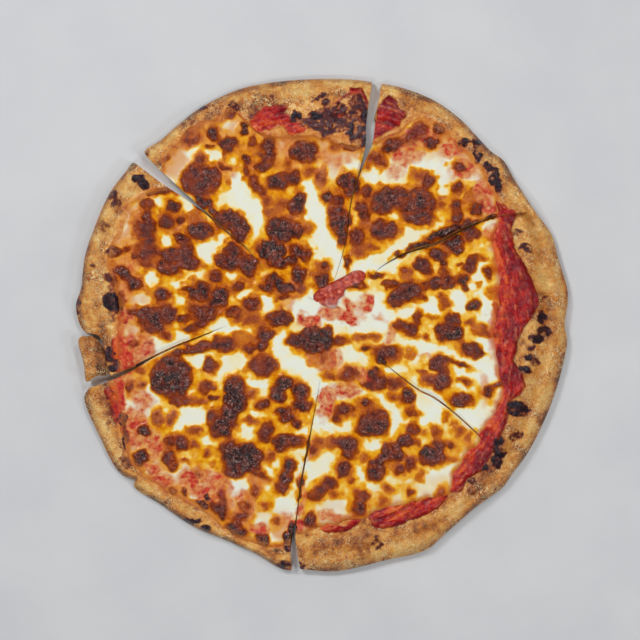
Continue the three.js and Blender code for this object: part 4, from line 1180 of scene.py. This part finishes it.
CHEESE_TONES = [
    (0.0, (234, 238, 226)), (0.1, (240, 232, 192)), (0.18, (244, 208, 104)), (0.25, (238, 176, 34)),
    (0.32, (222, 138, 2)), (0.4, (192, 96, 0)), (0.48, (164, 68, 2)), (0.58, (142, 50, 4)),
    (0.72, (114, 34, 6)), (0.87, (80, 22, 12)), (1.0, (42, 14, 12)),
]
THIN_TONES = [(0.36, (226, 162, 98)), (0.6, (208, 106, 54))]
RED_TONES = [(0.3, (222, 122, 76)), (0.42, (208, 70, 50)), (0.58, (180, 36, 42)), (0.76, (126, 20, 36))]
CRUST_TONES = [(0.05, (240, 192, 110)), (0.28, (224, 158, 74)), (0.5, (202, 124, 46)),
               (0.7, (160, 86, 36)), (0.88, (116, 58, 28)), (1.0, (82, 38, 22))]
BURNT_TONES = [(0.15, (170, 92, 40)), (0.42, (120, 46, 30)), (0.66, (82, 32, 32)),
               (0.86, (52, 27, 34)), (1.0, (30, 21, 30))]
SAUCE_TONES = [(0.1, (122, 8, 22)), (0.36, (164, 20, 26)), (0.6, (192, 44, 26)), (0.85, (218, 96, 34))]
GLAZE_TONES = [(0.32, (176, 70, 30)), (0.5, (206, 124, 40)), (0.68, (226, 166, 86))]
TOMATO_TONES = [(0.28, (118, 18, 20)), (0.44, (168, 42, 32)), (0.6, (200, 82, 56)), (0.76, (232, 156, 124))]
FLOOR_TONES = [(0.3, (205, 207, 210)), (0.7, (213, 215, 217))]
PAINTED_BLISTER_GLINT = (206, 140, 122)
PEACH = (220, 152, 84)
DRIED_RED = (98, 32, 28)
CHEESE_EDGES = [("seep", 0.75, (208, 88, 50)), ("baked", 0.7, (196, 116, 54)), ("wall", 0.6, (150, 92, 46))]
PALE_GRAIN_AND_GLINT = (252, 224, 164)
PALE_WALL = (232, 196, 142)
STREAK_AND_RIDGE_HIGHLIGHT = (226, 124, 72)
SAUCE_FOLD_SHADE = (96, 10, 22)
SAUCE_EDGE = (112, 32, 20)
PALE_TOMATO = (214, 188, 178)


def cheese_material():
    s = Shader("melted_cheese", 0.3, Specular_IOR_Level=0.32, Subsurface_Weight=0.04, Subsurface_Scale=0.001)
    s.surface.inputs["Subsurface Radius"].default_value = (1.0, 0.7, 0.4)
    level = s.attribute("browning")
    speckle = s.times(s.centred(s.noise(1.3, 4)), s.remap(level, 0.3, 0.75, 0.1, 0.55))
    colour = s.ramp(s.plus(s.times(level, 0.95), speckle, clamp=True), CHEESE_TONES)
    # Painted highlights: pale pinkish glints on the browned blisters.
    painted_glints = s.times(s.remap(s.noise(1.7, 2, 1.6), 0.57, 0.68), s.remap(level, 0.62, 0.8, 0.0, 0.65))
    colour = s.mix(painted_glints, colour, PAINTED_BLISTER_GLINT)
    peach = s.times(s.attribute("peach"), s.remap(level, 0.45, 0.25, 0.0, 0.85))
    colour = s.mix(peach, colour, PEACH)
    redness = s.attribute("red")
    thin = s.times(s.remap(redness, 0.05, 0.45, 0.0, 0.9), s.remap(level, 0.6, 0.3))
    colour = s.mix(thin, colour, s.ramp(s.noise(3, 4), THIN_TONES))
    blotch = s.plus(redness, s.times(s.centred(s.noise(4.5, 5, 0.5)), 1.5))
    dry_red = s.mix(s.remap(level, 0.35, 0.85), s.ramp(s.noise(2.4, 4), RED_TONES), DRIED_RED)
    colour = s.mix(s.remap(blotch, 0.48, 0.82, 0.0, 0.95), colour, dry_red)
    for name, share, tone in CHEESE_EDGES:
        colour = s.mix(s.times(s.attribute(name), share), colour, tone)
    rough = s.plus(s.remap(s.noise(1.8, 2), 0.3, 0.7, 0.1, 0.2), s.remap(level, 0.4, 0.7, 0.0, 0.04))
    s.links.new(s.remap(level, 0.4, 0.7, 0.16, 0.58), s.surface.inputs["Specular IOR Level"])
    wrinkles = s.bump(s.noise(2.6, 1.4, 1.4), 2.2, s.remap(level, 0.3, 0.6, 0.05, 1.0))
    return s.done(colour, wrinkles, rough)


def grains(s):
    """Thin winding grains of dough, as 0 to 1."""
    return s.remap(s.math("ABSOLUTE", s.centred(s.noise(2.2, 2, 1.2))), 0.055, 0.02)


def charred(s, colour):
    """Browns, reddens and blackens a colour by the surface's char."""
    char = s.plus(s.attribute("char"), s.times(s.centred(s.noise(2.2, 6)), 0.85))
    return s.mix(s.remap(char, 0.14, 0.6), colour, s.ramp(char, BURNT_TONES))


def crust_tone(s):
    """The colour of baked crust, with pale grains that are partly flour, partly painted glints, and darker
    toasted places, partly painted shade.
    """
    toast_and_shade = s.plus(s.attribute("toast_and_shade"), s.times(s.centred(s.noise(1.3, 5)), 0.75), clamp=True)
    # Pale grains: partly flour and meal on the crust, partly painted glints.
    pale_grain_and_glint = s.times(grains(s), s.remap(s.noise(11, 2), 0.4, 0.58, 0.2, 0.8))
    return charred(s, s.mix(pale_grain_and_glint, s.ramp(toast_and_shade, CRUST_TONES), PALE_GRAIN_AND_GLINT))


def sauce_material():
    s = Shader("tomato_sauce", 0.3, Specular_IOR_Level=0.26)
    orange = s.plus(s.attribute("orange"), s.centred(s.noise(1.6, 4)), clamp=True)
    # Lighter orange on the wrinkles' ridges: partly the sauce's own orange streaks, partly painted highlight.
    wrinkle = s.remap(s.attribute("wrinkle"), 0.62, 0.95, 0.0, 0.5)
    colour = s.mix(wrinkle, s.ramp(orange, SAUCE_TONES), STREAK_AND_RIDGE_HIGHLIGHT)
    # Painted shade in the low folds.
    colour = s.mix(s.times(s.attribute("fold"), 0.6), colour, SAUCE_FOLD_SHADE)
    colour = s.mix(s.times(s.attribute("edge"), 0.5), colour, SAUCE_EDGE)
    wet, glazed = s.attribute("wet"), s.attribute("glazed")
    dry = s.mix(s.times(glazed, 0.75), crust_tone(s), s.ramp(s.noise(4, 4), GLAZE_TONES))
    colour = charred(s, s.mix(wet, dry, colour))
    shiny = s.math("MAXIMUM", s.math("MAXIMUM", wet, s.attribute("char")), glazed)
    return s.done(colour, s.bump(s.noise(2.6, 4), 0.8, 0.6), s.remap(shiny, 0.2, 0.8, 0.6, 0.27))


def crust_material():
    s = Shader("baked_crust", 0.7, Specular_IOR_Level=0.3)
    wall = s.times(s.attribute("wall"), s.remap(s.noise(5, 2), 0.35, 0.65, 0.05, 0.4))
    colour = s.mix(wall, crust_tone(s), PALE_WALL)
    pitted = s.bump(s.noise(1.6, 5), 0.9, 0.85)
    grained = s.bump(grains(s), 0.3, 0.8, pitted)
    return s.done(colour, grained, s.remap(s.attribute("char"), 0.3, 0.8, 0.5, 0.22))


def tomato_material():
    s = Shader("tomato_flesh", 0.26, Specular_IOR_Level=0.35)
    pale = s.times(s.attribute("pale"), 0.75)
    colour = s.mix(pale, s.ramp(s.noise(2.2, 5), TOMATO_TONES), PALE_TOMATO)
    return s.done(colour, s.bump(s.noise(1.3, 4), 0.6, 0.7))


# ---------------------------------------------------------------------------------------------------
# Building the pizza

big_knobs = Knobs(3.3, 11, knob_value, 0.16)
small_knobs = Knobs(1.9, 21, knob_value, 0.12)
cheese_look = cheese_material()
sauce_look = sauce_material()
crust_look = crust_material()
tomato_look = tomato_material()

for index, slice_data in enumerate(SLICES, start=1):
    build_crust(index, slice_data, crust_look)
    build_sauce(index, slice_data, sauce_look)
    build_cheese(index, slice_data, cheese_look)

build_chunk(crust_look)
build_tomato(tomato_look)

# ---------------------------------------------------------------------------------------------------
# Floor, lights and camera, in metres

SHOT_WIDTH = 0.3967  # what the picture's width takes in, at the height of the pizza
SHOT_CENTRE = (-0.00124, 0.00341)
CAMERA_HEIGHT = 1.2
PIZZA_LEVEL = 0.009
FLOOR_HALF = 2.5
SKY_STRENGTH = 0.3
SKY_STOPS = [(0.3, (1.0, 1.0, 1.0, 1)), (0.92, (0.12, 0.12, 0.13, 1))]  # from level up to overhead
LIGHTS = [  # name, place, size and watts
    ("key", (-0.5, 0.5, 1.1), 0.3, 6.6),
    ("fill", (0.9, -0.4, 1.0), 0.25, 2.6),
    ("glint_back", (0.25, 0.55, 1.15), 0.1, 2.6),
    ("glint_right", (0.5, -0.1, 1.15), 0.1, 1.8),
    ("glint_front", (-0.25, -0.5, 1.15), 0.1, 2.2),
]

floor_mesh = bpy.data.meshes.new("floor")
corners = [(x * FLOOR_HALF, y * FLOOR_HALF, 0) for x, y in ((-1, -1), (1, -1), (1, 1), (-1, 1))]
floor_mesh.from_pydata(corners, [], [(0, 1, 2, 3)])
floor = bpy.data.objects.new("floor", floor_mesh)
bpy.context.scene.collection.objects.link(floor)
floor_shader = Shader("pale_floor", 0.8)
floor_mesh.materials.append(floor_shader.done(floor_shader.ramp(floor_shader.noise(60, 5), FLOOR_TONES)))

for light_name, place, size, watts in LIGHTS:
    light = bpy.data.lights.new(light_name, "AREA")
    light.shape = "SQUARE"
    light.size = size
    light.energy = watts
    lamp = bpy.data.objects.new(light_name, light)
    lamp.location = place
    lamp.rotation_euler = (-mathutils.Vector(place)).to_track_quat("-Z", "Y").to_euler()
    bpy.context.scene.collection.objects.link(lamp)

world = bpy.data.worlds.new("studio")
world.use_nodes = True
sky_nodes, sky_links = world.node_tree.nodes, world.node_tree.links
direction = sky_nodes.new("ShaderNodeTexCoord").outputs["Generated"]
split = sky_nodes.new("ShaderNodeSeparateXYZ")
sky = sky_nodes.new("ShaderNodeValToRGB")
for element, (position, colour) in zip(sky.color_ramp.elements, SKY_STOPS):
    element.position = position
    element.color = colour
sky_links.new(direction, split.inputs["Vector"])
sky_links.new(split.outputs["Z"], sky.inputs["Fac"])
sky_links.new(sky.outputs["Color"], sky_nodes["Background"].inputs["Color"])
sky_nodes["Background"].inputs["Strength"].default_value = SKY_STRENGTH
bpy.context.scene.world = world
bpy.context.scene.view_settings.view_transform = "Standard"

camera_data = bpy.data.cameras.new("camera")
camera_data.angle = 2 * math.atan(SHOT_WIDTH / 2 / (CAMERA_HEIGHT - PIZZA_LEVEL))
camera = bpy.data.objects.new("camera", camera_data)
camera.location = (*SHOT_CENTRE, CAMERA_HEIGHT)
bpy.context.scene.collection.objects.link(camera)
bpy.context.scene.camera = camera
